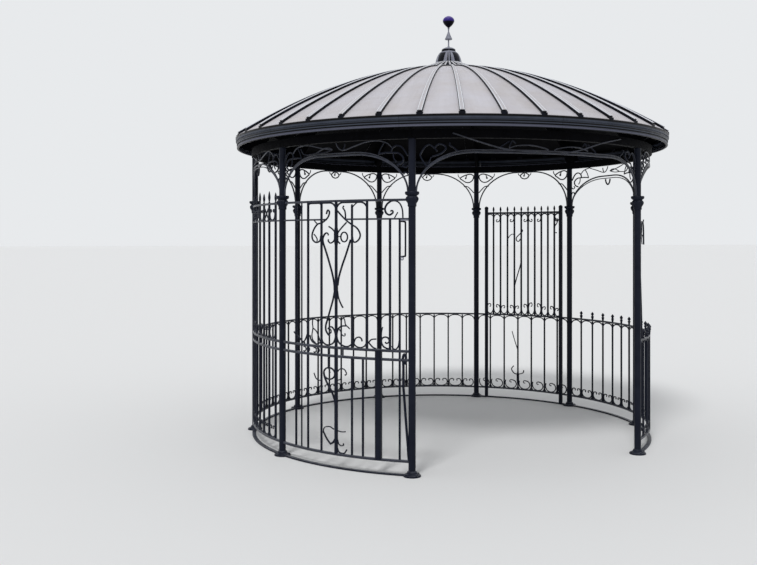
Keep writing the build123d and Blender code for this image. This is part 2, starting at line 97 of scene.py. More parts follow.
# Each bay lies between two posts, named from left to right as seen from outside
bays = {
    "front_left": ("front_left", "doorway_left"),
    "left": ("left", "front_left"),
    "left_rear": ("rear_left", "left"),
    "rear_left": ("rear", "rear_left"),
    "rear_right": ("rear_right", "rear"),
    "right_rear": ("right", "rear_right"),
    "right": ("front_right", "right"),
    "front_right": ("doorway_right", "front_right"),
}
doorway = ("doorway_left", "doorway_right")


def bay_middle(ends):
    """Angle of a bay's middle, and half the length of wall between its posts' axes."""
    first, second = (radians(post_angles[end]) for end in ends)
    gap = (second - first + pi) % (2 * pi) - pi
    return first + gap / 2, abs(gap) / 2 * ring_radius


# Lines on the wall
class Line:
    """A bar's middle line on the wall, with its girth at each point and the balls that end its curls.

    A line marked for the painted highlight gets the paler paint of the rails and arches, which stands in for
    the sky's reflection."""

    def __init__(self, points, girth=full, closed=False, lift=0.0, balls=(), painted_highlight=False):
        self.points = [tuple(point) for point in points]
        self.girths = girth if isinstance(girth, list) else [girth] * len(self.points)
        self.closed = closed
        self.lift = lift
        self.balls = list(balls)
        self.painted_highlight = painted_highlight

    def changed(self, change):
        """The same line with every point changed."""
        points = [change(*point) for point in self.points]
        balls = [change(*ball) for ball in self.balls]
        return Line(points, self.girths, self.closed, self.lift, balls, self.painted_highlight)


def smooth(points, steps=5):
    """A smooth run through the points."""
    rounded = []
    ends = [points[0]] + list(points) + [points[-1]]
    for before, start, end, after in zip(ends, ends[1:], ends[2:], ends[3:]):
        for index in range(steps):
            t = index / steps
            rounded.append(tuple(
                0.5 * (2 * b + (c - a) * t
                       + (2 * a - 5 * b + 4 * c - d) * t * t
                       + (3 * b - a - 3 * c + d) * t**3)
                for a, b, c, d in zip(before, start, end, after)
            ))
    return rounded + [tuple(points[-1])]


curl_steps = 14
curl_tightness = 0.3


def curled(points, radius, turns, side):
    """A run with its end wound into a curl, to the left for side 1 and to the right for side -1."""
    before, last = points[-2:]
    heading = atan2(last[1] - before[1], last[0] - before[0])
    count = max(4, round(turns * curl_steps))
    along, level = last
    wound = list(points)
    for index in range(count):
        share = (index + 0.5) / count
        bend = radius * (1 - share * (1 - curl_tightness))
        turn = 2 * pi * turns / count
        heading += side * turn / 2
        along += bend * turn * cos(heading)
        level += bend * turn * sin(heading)
        heading += side * turn / 2
        wound.append((along, level))
    return wound


def scroll(points, start=None, end=None, girth=scroll_girth, lift=0.0, painted_highlight=False):
    """A smooth bar whose ends may be wound into curls, each given as radius, turns and side."""
    run = smooth(points) if len(points) > 2 else list(points)
    plain = len(run)
    before = 0
    if start:
        radius, turns, side = start
        run = curled(run[::-1], radius, turns, -side)[::-1]
        before = len(run) - plain
    if end:
        run = curled(run, *end)
    after = len(run) - plain - before
    girths = [girth * (1 - (1 - tail_share) * (before - index) / before) for index in range(before)]
    girths += [girth] * plain
    girths += [girth * (1 - (1 - tail_share) * (index + 1) / after) for index in range(after)]
    ends = ([run[0]] if start else []) + ([run[-1]] if end else [])
    return Line(run, girths, lift=lift, balls=ends, painted_highlight=painted_highlight)


def straight(start, end, girth=full, painted_highlight=False):
    return Line([start, end], girth, painted_highlight=painted_highlight)


def upright(along, bottom, top, girth=full):
    return straight((along, bottom), (along, top), girth)


def swelling(along, levels, ends, middle):
    """An upright stretch of bar with four levels that is thicker between its ends."""
    return Line([(along, level) for level in levels], [ends, middle, middle, ends])


def beside(place, points):
    """Points whose places along the wall are counted from a bar or a post."""
    return [(place + along, level) for along, level in points]


def level_bar(level, half_length, girth, start=None):
    """A rail that follows the wall, from one end to the other."""
    first = -half_length if start is None else start
    count = max(2, round((half_length - first) / 0.05))
    points = [(first + (half_length - first) * index / count, level) for index in range(count + 1)]
    return Line(points, girth, painted_highlight=True)


def oval(along, level, half_width, half_height, girth=scroll_girth, count=20):
    points = [
        (along + half_width * cos(2 * pi * index / count), level + half_height * sin(2 * pi * index / count))
        for index in range(count)
    ]
    return Line(points, girth, closed=True)


def hoop(left, right, top, left_corner, right_corner, girth=scroll_girth):
    """An arched top between two bars; each corner has its reach along the wall and its drop."""
    reach, drop = left_corner
    quarter = [pi / 2 * index / 6 for index in range(7)]
    points = [(left + reach * (1 - cos(turn)), top - drop * (1 - sin(turn))) for turn in quarter]
    reach, drop = right_corner
    points += [(right - reach * (1 - cos(turn)), top - drop * (1 - sin(turn))) for turn in quarter[::-1]]
    return Line(points, girth)


def mirrored_once(lines):
    """The reflections of the lines in the middle of the drawing."""
    return [line.changed(lambda along, level: (-along, level)) for line in lines]


def mirrored(lines):
    """The lines and their reflections."""
    return lines + mirrored_once(lines)


def moved(lines, along, level, width=1.0, height=1.0):
    """The lines stretched and then moved on the wall."""
    return [line.changed(lambda x, z: (along + x * width, level + z * height)) for line in lines]


# Small scrolls that the panels share, each about 0.1 m wide and high on its foot
def ram_cup():
    """A round cup whose two lips curl over and meet in a dip."""
    return mirrored([
        scroll([(0, 0), (0.026, 0.004), (0.046, 0.020), (0.050, 0.045), (0.040, 0.066), (0.022, 0.068)],
               end=(0.012, 0.45, 1)),
    ])


def ball_cup():
    """A round cup with one lip wound inwards to a ball."""
    return [
        scroll([(0.046, 0.078), (0.050, 0.046), (0.036, 0.014), (0.004, 0), (-0.030, 0.010), (-0.046, 0.040),
                (-0.034, 0.072), (-0.008, 0.082)], end=(0.018, 0.62, -1)),
    ]


def tulip():
    """Two arms that rise from one foot and curl inwards."""
    return mirrored([
        scroll([(0, 0), (0.030, 0.006), (0.047, 0.035), (0.040, 0.066)], end=(0.015, 0.8, 1)),
    ])


def crossed():
    """Two bars that cross, each with a curl at its head and its foot."""
    return mirrored([
        scroll([(-0.040, 0.012), (-0.018, 0.030), (0.016, 0.062), (0.036, 0.082)],
               start=(0.010, 0.6, -1), end=(0.010, 0.6, -1)),
    ])


# Meshes from lines
def wall_point(along, level, middle, lift=0.0):
    angle = middle + along / ring_radius
    reach = ring_radius + lift
    return Vector((reach * sin(angle), -reach * cos(angle), level))


def line_object(name, runs):
    """An object of loose edges: each run holds points, girths, facings and whether it closes."""
    places, girths, facings, edges = [], [], [], []
    for points, run_girths, run_facings, closed in runs:
        first = len(places)
        places += points
        girths += run_girths
        facings += run_facings
        edges += [(first + index, first + index + 1) for index in range(len(points) - 1)]
        if closed:
            edges.append((first + len(points) - 1, first))
    mesh = bpy.data.meshes.new(name)
    mesh.from_pydata(places, edges, [])
    mesh.attributes.new("girth", "FLOAT", "POINT").data.foreach_set("value", girths)
    flat = [number for facing in facings for number in facing]
    mesh.attributes.new("facing", "FLOAT_VECTOR", "POINT").data.foreach_set("vector", flat)
    return new_object(name, mesh)


def outward(points):
    """Level directions from the gazebo's axis out through the points."""
    return [Vector((point.x, point.y, 0)).normalized() for point in points]


def even_run(points):
    """An open run of one girth that faces outwards."""
    return points, [full] * len(points), outward(points), False


def wall_runs(lines, middle):
    runs = []
    for line in lines:
        points = [wall_point(along, level, middle, line.lift) for along, level in line.points]
        runs.append((points, line.girths, outward(points), line.closed))
    return runs


def new_object(name, mesh):
    made = bpy.data.objects.new(name, mesh)
    bpy.context.scene.collection.objects.link(made)
    return made


# Geometry node trees
def new_tree(name, inputs):
    """An empty tree with a geometry input, the named inputs and a geometry output."""
    tree = bpy.data.node_groups.new(name, "GeometryNodeTree")
    tree.interface.new_socket("Geometry", in_out="INPUT", socket_type="NodeSocketGeometry")
    for label, kind in inputs:
        tree.interface.new_socket(label, in_out="INPUT", socket_type=kind)
    tree.interface.new_socket("Geometry", in_out="OUTPUT", socket_type="NodeSocketGeometry")
    return tree


def tree_node(tree, kind, settings=None, **sources):
    """A node with its settings, its inputs wired or set by name."""
    node = tree.nodes.new(kind)
    for key, value in (settings or {}).items():
        setattr(node, key, value)
    for label, source in sources.items():
        socket = node.inputs[label.replace("_", " ")]
        if isinstance(source, bpy.types.NodeSocket):
            tree.links.new(source, socket)
        else:
            socket.default_value = source
    return node


def named_values(tree, label, kind):
    made = tree_node(tree, "GeometryNodeInputNamedAttribute", {"data_type": kind}, Name=label)
    return made.outputs["Attribute"]


crease_angle = radians(38)


def finish_tree(tree, geometry, material):
    """Shades the result smooth up to a crease angle and gives it its material."""
    angle = tree_node(tree, "GeometryNodeInputMeshEdgeAngle").outputs["Unsigned Angle"]
    sharp = tree_node(tree, "FunctionNodeCompare", {"operation": "GREATER_THAN"}, A=angle, B=crease_angle)
    smoothed = tree_node(tree, "GeometryNodeSetShadeSmooth", {"domain": "FACE"}, Geometry=geometry)
    creased = tree_node(
        tree, "GeometryNodeSetShadeSmooth", {"domain": "EDGE"},
        Geometry=smoothed.outputs["Geometry"], Selection=sharp.outputs["Result"], Shade_Smooth=False,
    )
    real = tree_node(tree, "GeometryNodeRealizeInstances", Geometry=creased.outputs["Geometry"])
    painted = tree_node(
        tree, "GeometryNodeSetMaterial", Geometry=real.outputs["Geometry"], Material=material)
    output = tree.nodes.new("NodeGroupOutput")
    tree.links.new(painted.outputs["Geometry"], output.inputs["Geometry"])


def forged_bars_tree():
    """Sweeps a square bar with rounded edges along every line, as thick as the line's girth says."""
    inputs = [
        ("Width", "NodeSocketFloat"), ("Depth", "NodeSocketFloat"), ("Corner", "NodeSocketFloat"),
        ("Corner steps", "NodeSocketInt"), ("Material", "NodeSocketMaterial"),
    ]
    tree = new_tree("forged bars", inputs)
    given = tree.nodes.new("NodeGroupInput").outputs
    curve = tree_node(tree, "GeometryNodeMeshToCurve", Mesh=given["Geometry"])
    facing = named_values(tree, "facing", "FLOAT_VECTOR")
    faced = tree_node(
        tree, "GeometryNodeSetCurveNormal", {"mode": "FREE"}, Curve=curve.outputs["Curve"], Normal=facing)
    square = tree_node(
        tree, "GeometryNodeCurvePrimitiveQuadrilateral", Width=given["Depth"], Height=given["Width"])
    rounded = tree_node(
        tree, "GeometryNodeFilletCurve", {"mode": "POLY"},
        Curve=square.outputs["Curve"], Radius=given["Corner"], Count=given["Corner steps"],
    )
    girth = named_values(tree, "girth", "FLOAT")
    swept = tree_node(
        tree, "GeometryNodeCurveToMesh",
        Curve=faced.outputs["Curve"], Profile_Curve=rounded.outputs["Curve"], Scale=girth, Fill_Caps=True,
    )
    finish_tree(tree, swept.outputs["Mesh"], given["Material"])
    return tree


def set_pieces_tree():
    """Sets a copy of a small piece on every point, turned and sized as the point says."""
    inputs = [("Piece", "NodeSocketObject"), ("Material", "NodeSocketMaterial")]
    tree = new_tree("pieces set on points", inputs)
    given = tree.nodes.new("NodeGroupInput").outputs
    piece = tree_node(tree, "GeometryNodeObjectInfo", Object=given["Piece"], As_Instance=True)
    turn = tree_node(tree, "ShaderNodeCombineXYZ", Z=named_values(tree, "turn", "FLOAT"))
    size = named_values(tree, "size", "FLOAT_VECTOR")
    copies = tree_node(
        tree, "GeometryNodeInstanceOnPoints",
        Points=given["Geometry"], Instance=piece.outputs["Geometry"], Scale=size,
        Rotation=turn.outputs["Vector"],
    )
    real = tree_node(tree, "GeometryNodeRealizeInstances", Geometry=copies.outputs["Instances"])
    finish_tree(tree, real.outputs["Geometry"], given["Material"])
    return tree


def shaped(made, tree, values):
    """Runs a tree on an object and keeps the result as its plain mesh."""
    sockets = {item.name: item.identifier for item in tree.interface.items_tree if item.in_out == "INPUT"}
    modifier = made.modifiers.new(tree.name, "NODES")
    modifier.node_group = tree
    for label, value in values.items():
        modifier[sockets[label]] = value
    graph = bpy.context.evaluated_depsgraph_get()
    mesh = bpy.data.meshes.new_from_object(made.evaluated_get(graph))
    made.modifiers.clear()
    made.data = mesh
    mesh.name = made.name
    return made


bars_tree = forged_bars_tree()
pieces_tree = set_pieces_tree()


def forged(name, runs, finish, width=bar, depth=bar, corner=bar_corner, corner_steps=1):
    values = {
        "Width": width, "Depth": depth, "Corner": corner, "Corner steps": corner_steps, "Material": finish,
    }
    return shaped(line_object(name, runs), bars_tree, values)


def set_pieces(name, source, spots, finish):
    """Copies of a small piece: each spot holds a place, a turn about the upright and a size."""
    mesh = bpy.data.meshes.new(name)
    mesh.from_pydata([place for place, _, _ in spots], [], [])
    mesh.attributes.new("turn", "FLOAT", "POINT").data.foreach_set("value", [turn for _, turn, _ in spots])
    sizes = [number for _, _, size in spots for number in (size if isinstance(size, tuple) else (size,) * 3)]
    mesh.attributes.new("size", "FLOAT_VECTOR", "POINT").data.foreach_set("vector", sizes)
    made = shaped(new_object(name, mesh), pieces_tree, {"Piece": source, "Material": finish})
    bpy.data.objects.remove(source)
    return made


def keep(made, slot_name, *nodes):
    """Fixes a finished piece to the gazebo and hides the nodes that it stands for; its slot_name is not used.
    """
    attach(made, "root")
    if nodes:
        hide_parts(*nodes)


# Turned and cast pieces
def closed_mesh(name, shape):
    """An object of the finished bmesh, smooth up to the crease angle."""
    bmesh.ops.remove_doubles(shape, verts=shape.verts, dist=1e-6)
    bmesh.ops.recalc_face_normals(shape, faces=shape.faces)
    for face in shape.faces:
        face.smooth = True
    for edge in shape.edges:
        edge.smooth = len(edge.link_faces) == 2 and edge.calc_face_angle() < crease_angle
    mesh = bpy.data.meshes.new(name)
    shape.to_mesh(mesh)
    shape.free()
    return new_object(name, mesh)


def turned_piece(name, outline, sides=32, flutes=0, flattened=1.0):
    """A closed outline of radius and height turned about the upright; a third value is the flutes' depth."""
    shape = bmesh.new()
    rings = []
    for radius, level, *flute in outline:
        depth = flute[0] if flute else 0
        ring = []
        for index in range(sides):
            angle = 2 * pi * index / sides
            reach = radius - depth * (0.5 + 0.5 * cos(flutes * angle))
            ring.append(shape.verts.new((reach * cos(angle), reach * sin(angle) * flattened, level)))
        rings.append(ring)
    for lower, upper in zip(rings, rings[1:]):
        for index in range(sides):
            after = (index + 1) % sides
            shape.faces.new((lower[index], lower[after], upper[after], upper[index]))
    shape.faces.new(rings[0][::-1])
    shape.faces.new(rings[-1])
    return closed_mesh(name, shape)


def keep_turned(name, outline, sides, finish, slot_name, *nodes):
    """Turns an outline, gives it its finish and keeps it."""
    made = turned_piece(name, outline, sides)
    made.data.materials.append(finish)
    keep(made, slot_name, *nodes)


def small_block(name, width, depth, height, corner):
    """A block with softened edges that stands on its place."""
    shape = bmesh.new()
    bmesh.ops.create_cube(shape, size=1)
    bmesh.ops.scale(shape, verts=shape.verts, vec=(width, depth, height))
    bmesh.ops.translate(shape, verts=shape.verts, vec=(0, 0, height / 2))
    bmesh.ops.bevel(shape, geom=list(shape.edges), offset=corner, segments=1, affect="EDGES")
    return closed_mesh(name, shape)


# Finishes
class Finish:
    """A material with short calls for the nodes that the finishes share."""

    mix_first = 6
    mix_second = 7
    mix_result = 2

    def __init__(self, name, roughness):
        self.material = bpy.data.materials.new(name)
        self.material.use_nodes = True
        self.tree = self.material.node_tree
        self.shader = self.tree.nodes["Principled BSDF"]
        self.shader.inputs["Roughness"].default_value = roughness
        self.place = self.tree.nodes.new("ShaderNodeTexCoord").outputs["Object"]

    def node(self, kind, settings=None, **sources):
        return tree_node(self.tree, kind, settings, **sources)

    def noise(self, scale, detail=4.0, roughness=0.55, place=None):
        made = self.node(
            "ShaderNodeTexNoise", Vector=place or self.place, Scale=scale, Detail=detail, Roughness=roughness)
        return made.outputs["Fac"]

    def between(self, source, low, high, bottom=0.0, top=1.0):
        """The source spread from low..high to bottom..top and held there."""
        made = self.node(
            "ShaderNodeMapRange", Value=source, From_Min=low, From_Max=high, To_Min=bottom, To_Max=top)
        return made.outputs["Result"]

    def blend(self, share, first, second):
        made = self.node("ShaderNodeMix", {"data_type": "RGBA"})
        self.join(share, made.inputs[0])
        self.join(first, made.inputs[self.mix_first])
        self.join(second, made.inputs[self.mix_second])
        return made.outputs[self.mix_result]

    def join(self, source, socket):
        if isinstance(source, bpy.types.NodeSocket):
            self.tree.links.new(source, socket)
        elif isinstance(source, tuple):
            socket.default_value = (*source, 1.0)
        else:
            socket.default_value = source

    def times(self, first, second):
        return self.calculate("MULTIPLY", first, second)

    def calculate(self, operation, *values):
        made = self.node("ShaderNodeMath", {"operation": operation})
        for index, value in enumerate(values):
            self.join(value, made.inputs[index])
        return made.outputs[0]

    def facing_up(self):
        """How far a surface faces the sky, from -1 to 1."""
        normal = self.node("ShaderNodeNewGeometry").outputs["Normal"]
        return self.node("ShaderNodeSeparateXYZ", Vector=normal).outputs["Z"]

    def parts_of_place(self):
        split = self.node("ShaderNodeSeparateXYZ", Vector=self.place)
        return split.outputs["X"], split.outputs["Y"], split.outputs["Z"]

    def colour(self, source):
        self.join(source, self.shader.inputs["Base Color"])

    def roughness(self, source):
        self.join(source, self.shader.inputs["Roughness"])

    def relief(self, heights):
        """Adds bumps, each given as a height source and a distance in metres."""
        normal = None
        for height, distance in heights:
            made = self.node("ShaderNodeBump", Height=height, Distance=distance)
            if normal:
                self.tree.links.new(normal, made.inputs["Normal"])
            normal = made.outputs["Normal"]
        self.join(normal, self.shader.inputs["Normal"])


blue_black = (0.0052, 0.0070, 0.0150)
worn_blue = (0.0110, 0.0135, 0.0240)
# Pale grey for dust on upward faces, which also serves as a painted highlight of the sky
dust_and_highlight_grey = (0.15, 0.16, 0.19)
near_black = (0.0018, 0.0018, 0.0024)
soft_black = (0.0034, 0.0034, 0.0044)
slate = (0.026, 0.031, 0.045)
pale_slate = (0.052, 0.060, 0.082)
# Rail colours, paler than the bars' paint: a painted highlight of the sky on rails, arches and rods
rail_slate = (0.012, 0.0145, 0.024)
pale_rail = (0.034, 0.038, 0.056)
bead_grey = (0.088, 0.091, 0.126)
# Pale greys that stand in for highlights on the finial: a painted highlight
lit_grey = (0.15, 0.155, 0.20)
paler_lit_grey = (0.30, 0.31, 0.36)
matt_sheen = 0.10
dull_sheen = 0.03
sheet_grey = (0.56, 0.55, 0.60)
sheet_warm = (0.50, 0.470, 0.475)
sheet_stain = (0.34, 0.32, 0.33)
cap_grey = (0.47, 0.465, 0.50)
# Near white on the ribs' edges: a painted highlight
rib_highlight_white = (0.72, 0.74, 0.79)
violet = (0.040, 0.024, 0.190)
# A painted highlight of the sky and painted shade on the violet enamel
violet_sky_highlight = (0.30, 0.24, 0.48)
violet_painted_shade = (0.0022, 0.0018, 0.0060)


def painted_iron(name, low, high, roughness, grain_scale, grain_depth, dust_and_highlight_share, sheen=matt_sheen):
    """Satin paint on forged bars: faint cloudiness, a brushed grain and, on what faces the sky, dust mixed
    with a painted highlight of the sky.
    """
    finish = Finish(name, roughness)
    finish.shader.inputs["Specular IOR Level"].default_value = sheen
    clouds = finish.between(finish.noise(9, 5, 0.6), 0.35, 0.72)
    rubbed = finish.between(finish.noise(70, 3, 0.6), 0.60, 0.74, 0, 0.55)
    paint = finish.blend(clouds, low, high)
    paint = finish.blend(rubbed, paint, worn_blue)
    # Pale grey on upward faces: partly real dust, partly a painted highlight of the sky.
    upward = finish.between(finish.facing_up(), 0.35, 0.95, 0, dust_and_highlight_share)
    dust_and_highlight_mask = finish.times(upward, finish.between(finish.noise(26, 4), 0.35, 0.65))
    finish.colour(finish.blend(dust_and_highlight_mask, paint, dust_and_highlight_grey))
    finish.roughness(finish.between(finish.noise(40, 4), 0.3, 0.7, roughness - 0.06, roughness + 0.10))
    grain = (finish.noise(grain_scale, 3, 0.6), grain_depth)
    brush_marks = (finish.noise(60, 3), grain_depth * 1.5)
    finish.relief([grain, brush_marks])
    return finish.material


def roof_coating():
    """Matt pale coating on the sheets, with a tone for each panel, speckles and rain marks down the fall, and
    near black below as painted shade.
    """
    finish = Finish("matt_pale_roof_coating", 0.55)
    x, y, _ = finish.parts_of_place()
    reach = finish.calculate("SQRT", finish.calculate("ADD", finish.times(x, x), finish.times(y, y)))
    angle = finish.calculate("ARCTAN2", y, x)
    panels = rib_count / (2 * pi)
    number = finish.calculate("FLOOR", finish.calculate("ADD", finish.times(angle, panels), 0.5))
    number = finish.calculate("WRAP", number, float(rib_count), 0.0)
    tone = finish.node("ShaderNodeTexWhiteNoise", {"noise_dimensions": "1D"}, W=number).outputs["Value"]
    streak_place = finish.node(
        "ShaderNodeCombineXYZ",
        X=finish.times(finish.calculate("DIVIDE", x, reach), 34.0),
        Y=finish.times(finish.calculate("DIVIDE", y, reach), 34.0),
        Z=finish.times(reach, 1.6),
    ).outputs["Vector"]
    streaks = finish.between(finish.noise(1.0, 4, 0.6, streak_place), 0.42, 0.75)
    clouds = finish.between(finish.noise(3.2, 5, 0.6), 0.35, 0.7)
    sheet = finish.blend(clouds, sheet_grey, sheet_warm)
    sheet = finish.blend(finish.times(tone, 0.22), sheet, sheet_stain)
    sheet = finish.blend(finish.times(streaks, 0.22), sheet, sheet_stain)
    specks = finish.between(finish.noise(85, 3, 0.7), 0.60, 0.70, 0, 0.30)
    sheet = finish.blend(specks, sheet, sheet_stain)
    creases = finish.node("ShaderNodeTexNoise", {"noise_dimensions": "1D"}, W=reach, Scale=16.0, Detail=2.0)
    creased = finish.between(creases.outputs["Fac"], 0.55, 0.66, 0, 0.16)
    sheet = finish.blend(finish.times(creased, tone), sheet, sheet_stain)
    above = finish.between(finish.facing_up(), -0.05, 0.05)
    # Faces turned down are near black: painted shade under the roof.
    finish.colour(finish.blend(above, near_black, sheet))
    finish.join(finish.between(above, 0, 1, dull_sheen, 0.4), finish.shader.inputs["Specular IOR Level"])
    finish.roughness(finish.between(finish.noise(18, 4), 0.3, 0.7, 0.46, 0.62))
    finish.relief([(finish.noise(260, 3, 0.6), 0.0004), (finish.noise(5, 3), 0.0022)])
    return finish.material


# Levels of the bands on the fascia: the shade's start and end, each painted shadow line's middle and half
# height, and where the bead's paint starts and is full, from above and from below
fascia_shade = (2.434, 2.408)
fascia_shadow_lines = ((2.4400, 0.0105), (2.4040, 0.0058), (2.3880, 0.0052), (2.3640, 0.0030))
bead_top = (2.3835, 2.3815)
bead_bottom = (2.3660, 2.3690)


def banded_paint():
    """Slate paint on the fascia with painted shadow lines under its edges and a pale bead at its foot."""
    finish = Finish("satin_slate_paint", 0.38)
    finish.shader.inputs["Specular IOR Level"].default_value = matt_sheen
    level = finish.parts_of_place()[2]
    clouds = finish.between(finish.noise(7, 4, 0.6), 0.35, 0.7)
    lower_half = finish.between(level, *fascia_shade)
    paint = finish.blend(clouds, slate, pale_slate)
    paint = finish.blend(finish.times(lower_half, 0.55), paint, pale_slate)
    # Near-black lines under the edges are painted shadow.
    for middle, half in fascia_shadow_lines:
        gap = finish.calculate("ABSOLUTE", finish.calculate("SUBTRACT", level, middle))
        paint = finish.blend(finish.between(gap, half, half * 0.6), paint, near_black)
    bead = finish.times(finish.between(level, *bead_top), finish.between(level, *bead_bottom))
    finish.colour(finish.blend(finish.times(bead, 0.85), paint, bead_grey))
    finish.roughness(finish.between(finish.noise(40, 4), 0.3, 0.7, 0.32, 0.48))
    finish.relief([(finish.noise(300, 3, 0.6), 0.0003), (finish.noise(14, 2), 0.0010)])
    return finish.material


def enamel():
    """Glossy violet enamel with a painted reflection: nearly black below as painted shade, paler towards the
    sky as a painted highlight.
    """
    finish = Finish("violet_enamel", 0.20)
    finish.shader.inputs["Specular IOR Level"].default_value = matt_sheen
    upward = finish.facing_up()
    # Paler towards the sky is a painted highlight and nearly black below is painted shade.
    upper = finish.blend(finish.between(upward, 0.35, 0.95, 0, 0.60), violet, violet_sky_highlight)
    finish.colour(finish.blend(finish.between(upward, -0.35, -0.02), violet_painted_shade, upper))
    finish.relief([(finish.noise(90, 2), 0.0003)])
    return finish.material


ironwork = painted_iron("satin_blue_black_paint", blue_black, worn_blue, 0.36, 420, 0.00025, 0.45)
# Paler paint with a strong pale top on rails, arches and rods: a painted highlight of the sky's reflection.
rail_paint = painted_iron("worn_paint_on_rails", rail_slate, pale_rail, 0.34, 420, 0.00030, 0.80, 0.35)
castings = painted_iron("satin_paint_on_castings", blue_black, worn_blue, 0.42, 260, 0.0007, 0.45)
# Black paint made darker and duller than the other ironwork, partly painted shade under the roof.
roof_frame = painted_iron("dull_black_paint", near_black, soft_black, 0.62, 300, 0.0003, 0.0, dull_sheen)
fascia_paint = banded_paint()
finial_paint = painted_iron("satin_finial_paint", near_black, blue_black, 0.30, 300, 0.0004, 0.15)
# Pale grey on the finial's flutes, straps, shoulder, dome top and stem is a painted highlight; the grip strap
# takes the same paint.
pale_metal = painted_iron("weathered_grey_paint", lit_grey, paler_lit_grey, 0.36, 300, 0.0004, 0.30)
# Near black on the ribs' sides is painted shade below the pale caps; the end blocks at the eave share this
# paint.
rib_paint = painted_iron("dark_rib_paint", near_black, blue_black, 0.40, 300, 0.0003, 0.0)
rib_cap_paint = painted_iron("pale_rib_cap_paint", cap_grey, sheet_warm, 0.50, 300, 0.0003, 0.0)
# The ribs' bright edges are a painted highlight of the sky on the caps' near edges.
rib_edge_highlight_paint = painted_iron("bright_rib_edge_paint", rib_highlight_white, rib_highlight_white, 0.30, 300, 0.0002, 0.0, 0.5)
roof_sheet = roof_coating()
violet_enamel = enamel()


# Panels
def panel_bars(step, count):
    """Places of bars at an even pitch in degrees, centred on the bay."""
    return [radians(step) * ring_radius * (index - (count - 1) / 2) for index in range(count)]


def at_angle(angle):
    return radians(angle) * ring_radius


lyre_bars = [at_angle(angle) for angle in (-13.8, -9.2, -4.6, 0, 4.6, 8.7, 14.6)]
stile = at_angle(17)
stout_bar = at_angle(11.7)
slim_bar = at_angle(-11.6)
short_bar = at_angle(7.6)
stay_bar = at_angle(17.9)


def lyre_head():
    """The lyre's shoulders, loops, hooks and small scrolls, beside the centre bar."""
    left_loop = [
        (-0.086, 1.794), (-0.074, 1.822), (-0.058, 1.806), (-0.074, 1.769), (-0.122, 1.735), (-0.171, 1.722),
        (-0.207, 1.684), (-0.224, 1.643), (-0.214, 1.609), (-0.180, 1.592), (-0.146, 1.606), (-0.138, 1.640),
    ]
    right_loop = [
        (0.012, 1.815), (0.049, 1.779), (0.087, 1.747), (0.129, 1.719), (0.166, 1.698), (0.189, 1.671),
        (0.198, 1.640), (0.184, 1.610), (0.156, 1.594), (0.141, 1.606), (0.137, 1.630),
    ]
    left_arm = [
        (-0.014, 1.246), (-0.018, 1.305), (-0.034, 1.372), (-0.053, 1.429), (-0.086, 1.518), (-0.116, 1.590),
        (-0.119, 1.624), (-0.104, 1.650),
    ]
    right_arm = [
        (0.014, 1.290), (0.024, 1.350), (0.052, 1.432), (0.080, 1.500), (0.106, 1.570), (0.121, 1.612),
    ]
    return [
        scroll(left_loop, girth=scroll_girth * 1.1, lift=0.001),
        scroll(right_loop, girth=scroll_girth * 1.1, lift=0.001),
        scroll(left_arm, end=(0.026, 0.42, -1), girth=scroll_girth * 1.25),
        scroll(right_arm, girth=scroll_girth * 1.25),
        scroll([(-0.010, 1.622), (-0.025, 1.599), (-0.050, 1.588), (-0.068, 1.600)], end=(0.010, 0.3, -1)),
        scroll([(-0.066, 1.706), (-0.034, 1.688), (-0.005, 1.660)], girth=scroll_girth),
        scroll([(0.087, 1.733), (0.049, 1.698), (0.020, 1.668), (0.004, 1.640)], girth=scroll_girth),
        oval(0.068, 1.631, 0.028, 0.034),
        straight((0.008, 1.634), (0.042, 1.634), fine_girth),
        scroll([(0.008, 1.618), (0.018, 1.598), (0.034, 1.584)]),
        scroll([(0.060, 1.832), (0.074, 1.812), (0.079, 1.780), (0.079, 1.755)], start=(0.012, 0.35, 1)),
        scroll([(-0.207, 1.756), (-0.190, 1.738), (-0.165, 1.722)], girth=fine_girth),
        scroll([(-0.206, 1.652), (-0.186, 1.634), (-0.174, 1.614), (-0.178, 1.594)], girth=fine_girth),
        scroll([(0.184, 1.876), (0.160, 1.862), (0.138, 1.842)], girth=fine_girth),
        swelling(0, (1.700, 1.660, 1.610, 1.570), full * 1.3, full * 2.0),
        swelling(0, (1.330, 1.280, 1.235, 1.180), full * 1.3, full * 1.7),
    ]


def lyre_tail():
    """The lyre's lower arms and the two cups in which they end above the mid rail."""
    left_arm = [(-0.014, 1.246), (-0.028, 1.186), (-0.051, 1.119), (-0.075, 1.050), (-0.092, 1.004),
                (-0.090, 0.965), (-0.066, 0.936)]
    left_cup = [(-0.130, 0.914), (-0.122, 0.886), (-0.094, 0.868), (-0.060, 0.867), (-0.024, 0.884),
                (-0.006, 0.925), (-0.013, 0.966), (-0.034, 0.992), (-0.056, 0.994), (-0.072, 0.978)]
    right_cup = [(0.139, 0.908), (0.127, 0.881), (0.096, 0.864), (0.058, 0.868), (0.022, 0.890),
                 (0.006, 0.930), (0.012, 0.970), (0.030, 0.996), (0.056, 1.006), (0.082, 1.008)]
    return [
        scroll(left_arm, end=(0.008, 0.3, 1), girth=scroll_girth * 1.2),
        scroll(left_cup, girth=scroll_girth * 1.1),
        scroll([(-0.060, 0.984), (-0.046, 0.972), (-0.044, 0.956)], end=(0.006, 0.4, -1), girth=fine_girth),
        scroll([(0.012, 1.250), (0.020, 1.205), (0.038, 1.165), (0.058, 1.134)], girth=scroll_girth),
        scroll(right_cup, girth=scroll_girth * 1.1),
        scroll([(0.056, 1.072), (0.072, 1.048), (0.079, 1.018), (0.100, 1.000), (0.114, 0.988)],
               girth=fine_girth),
        scroll([(0.026, 0.982), (0.040, 0.966), (0.046, 0.948), (0.060, 0.938)], end=(0.014, 0.5, 1),
               girth=fine_girth),
    ]


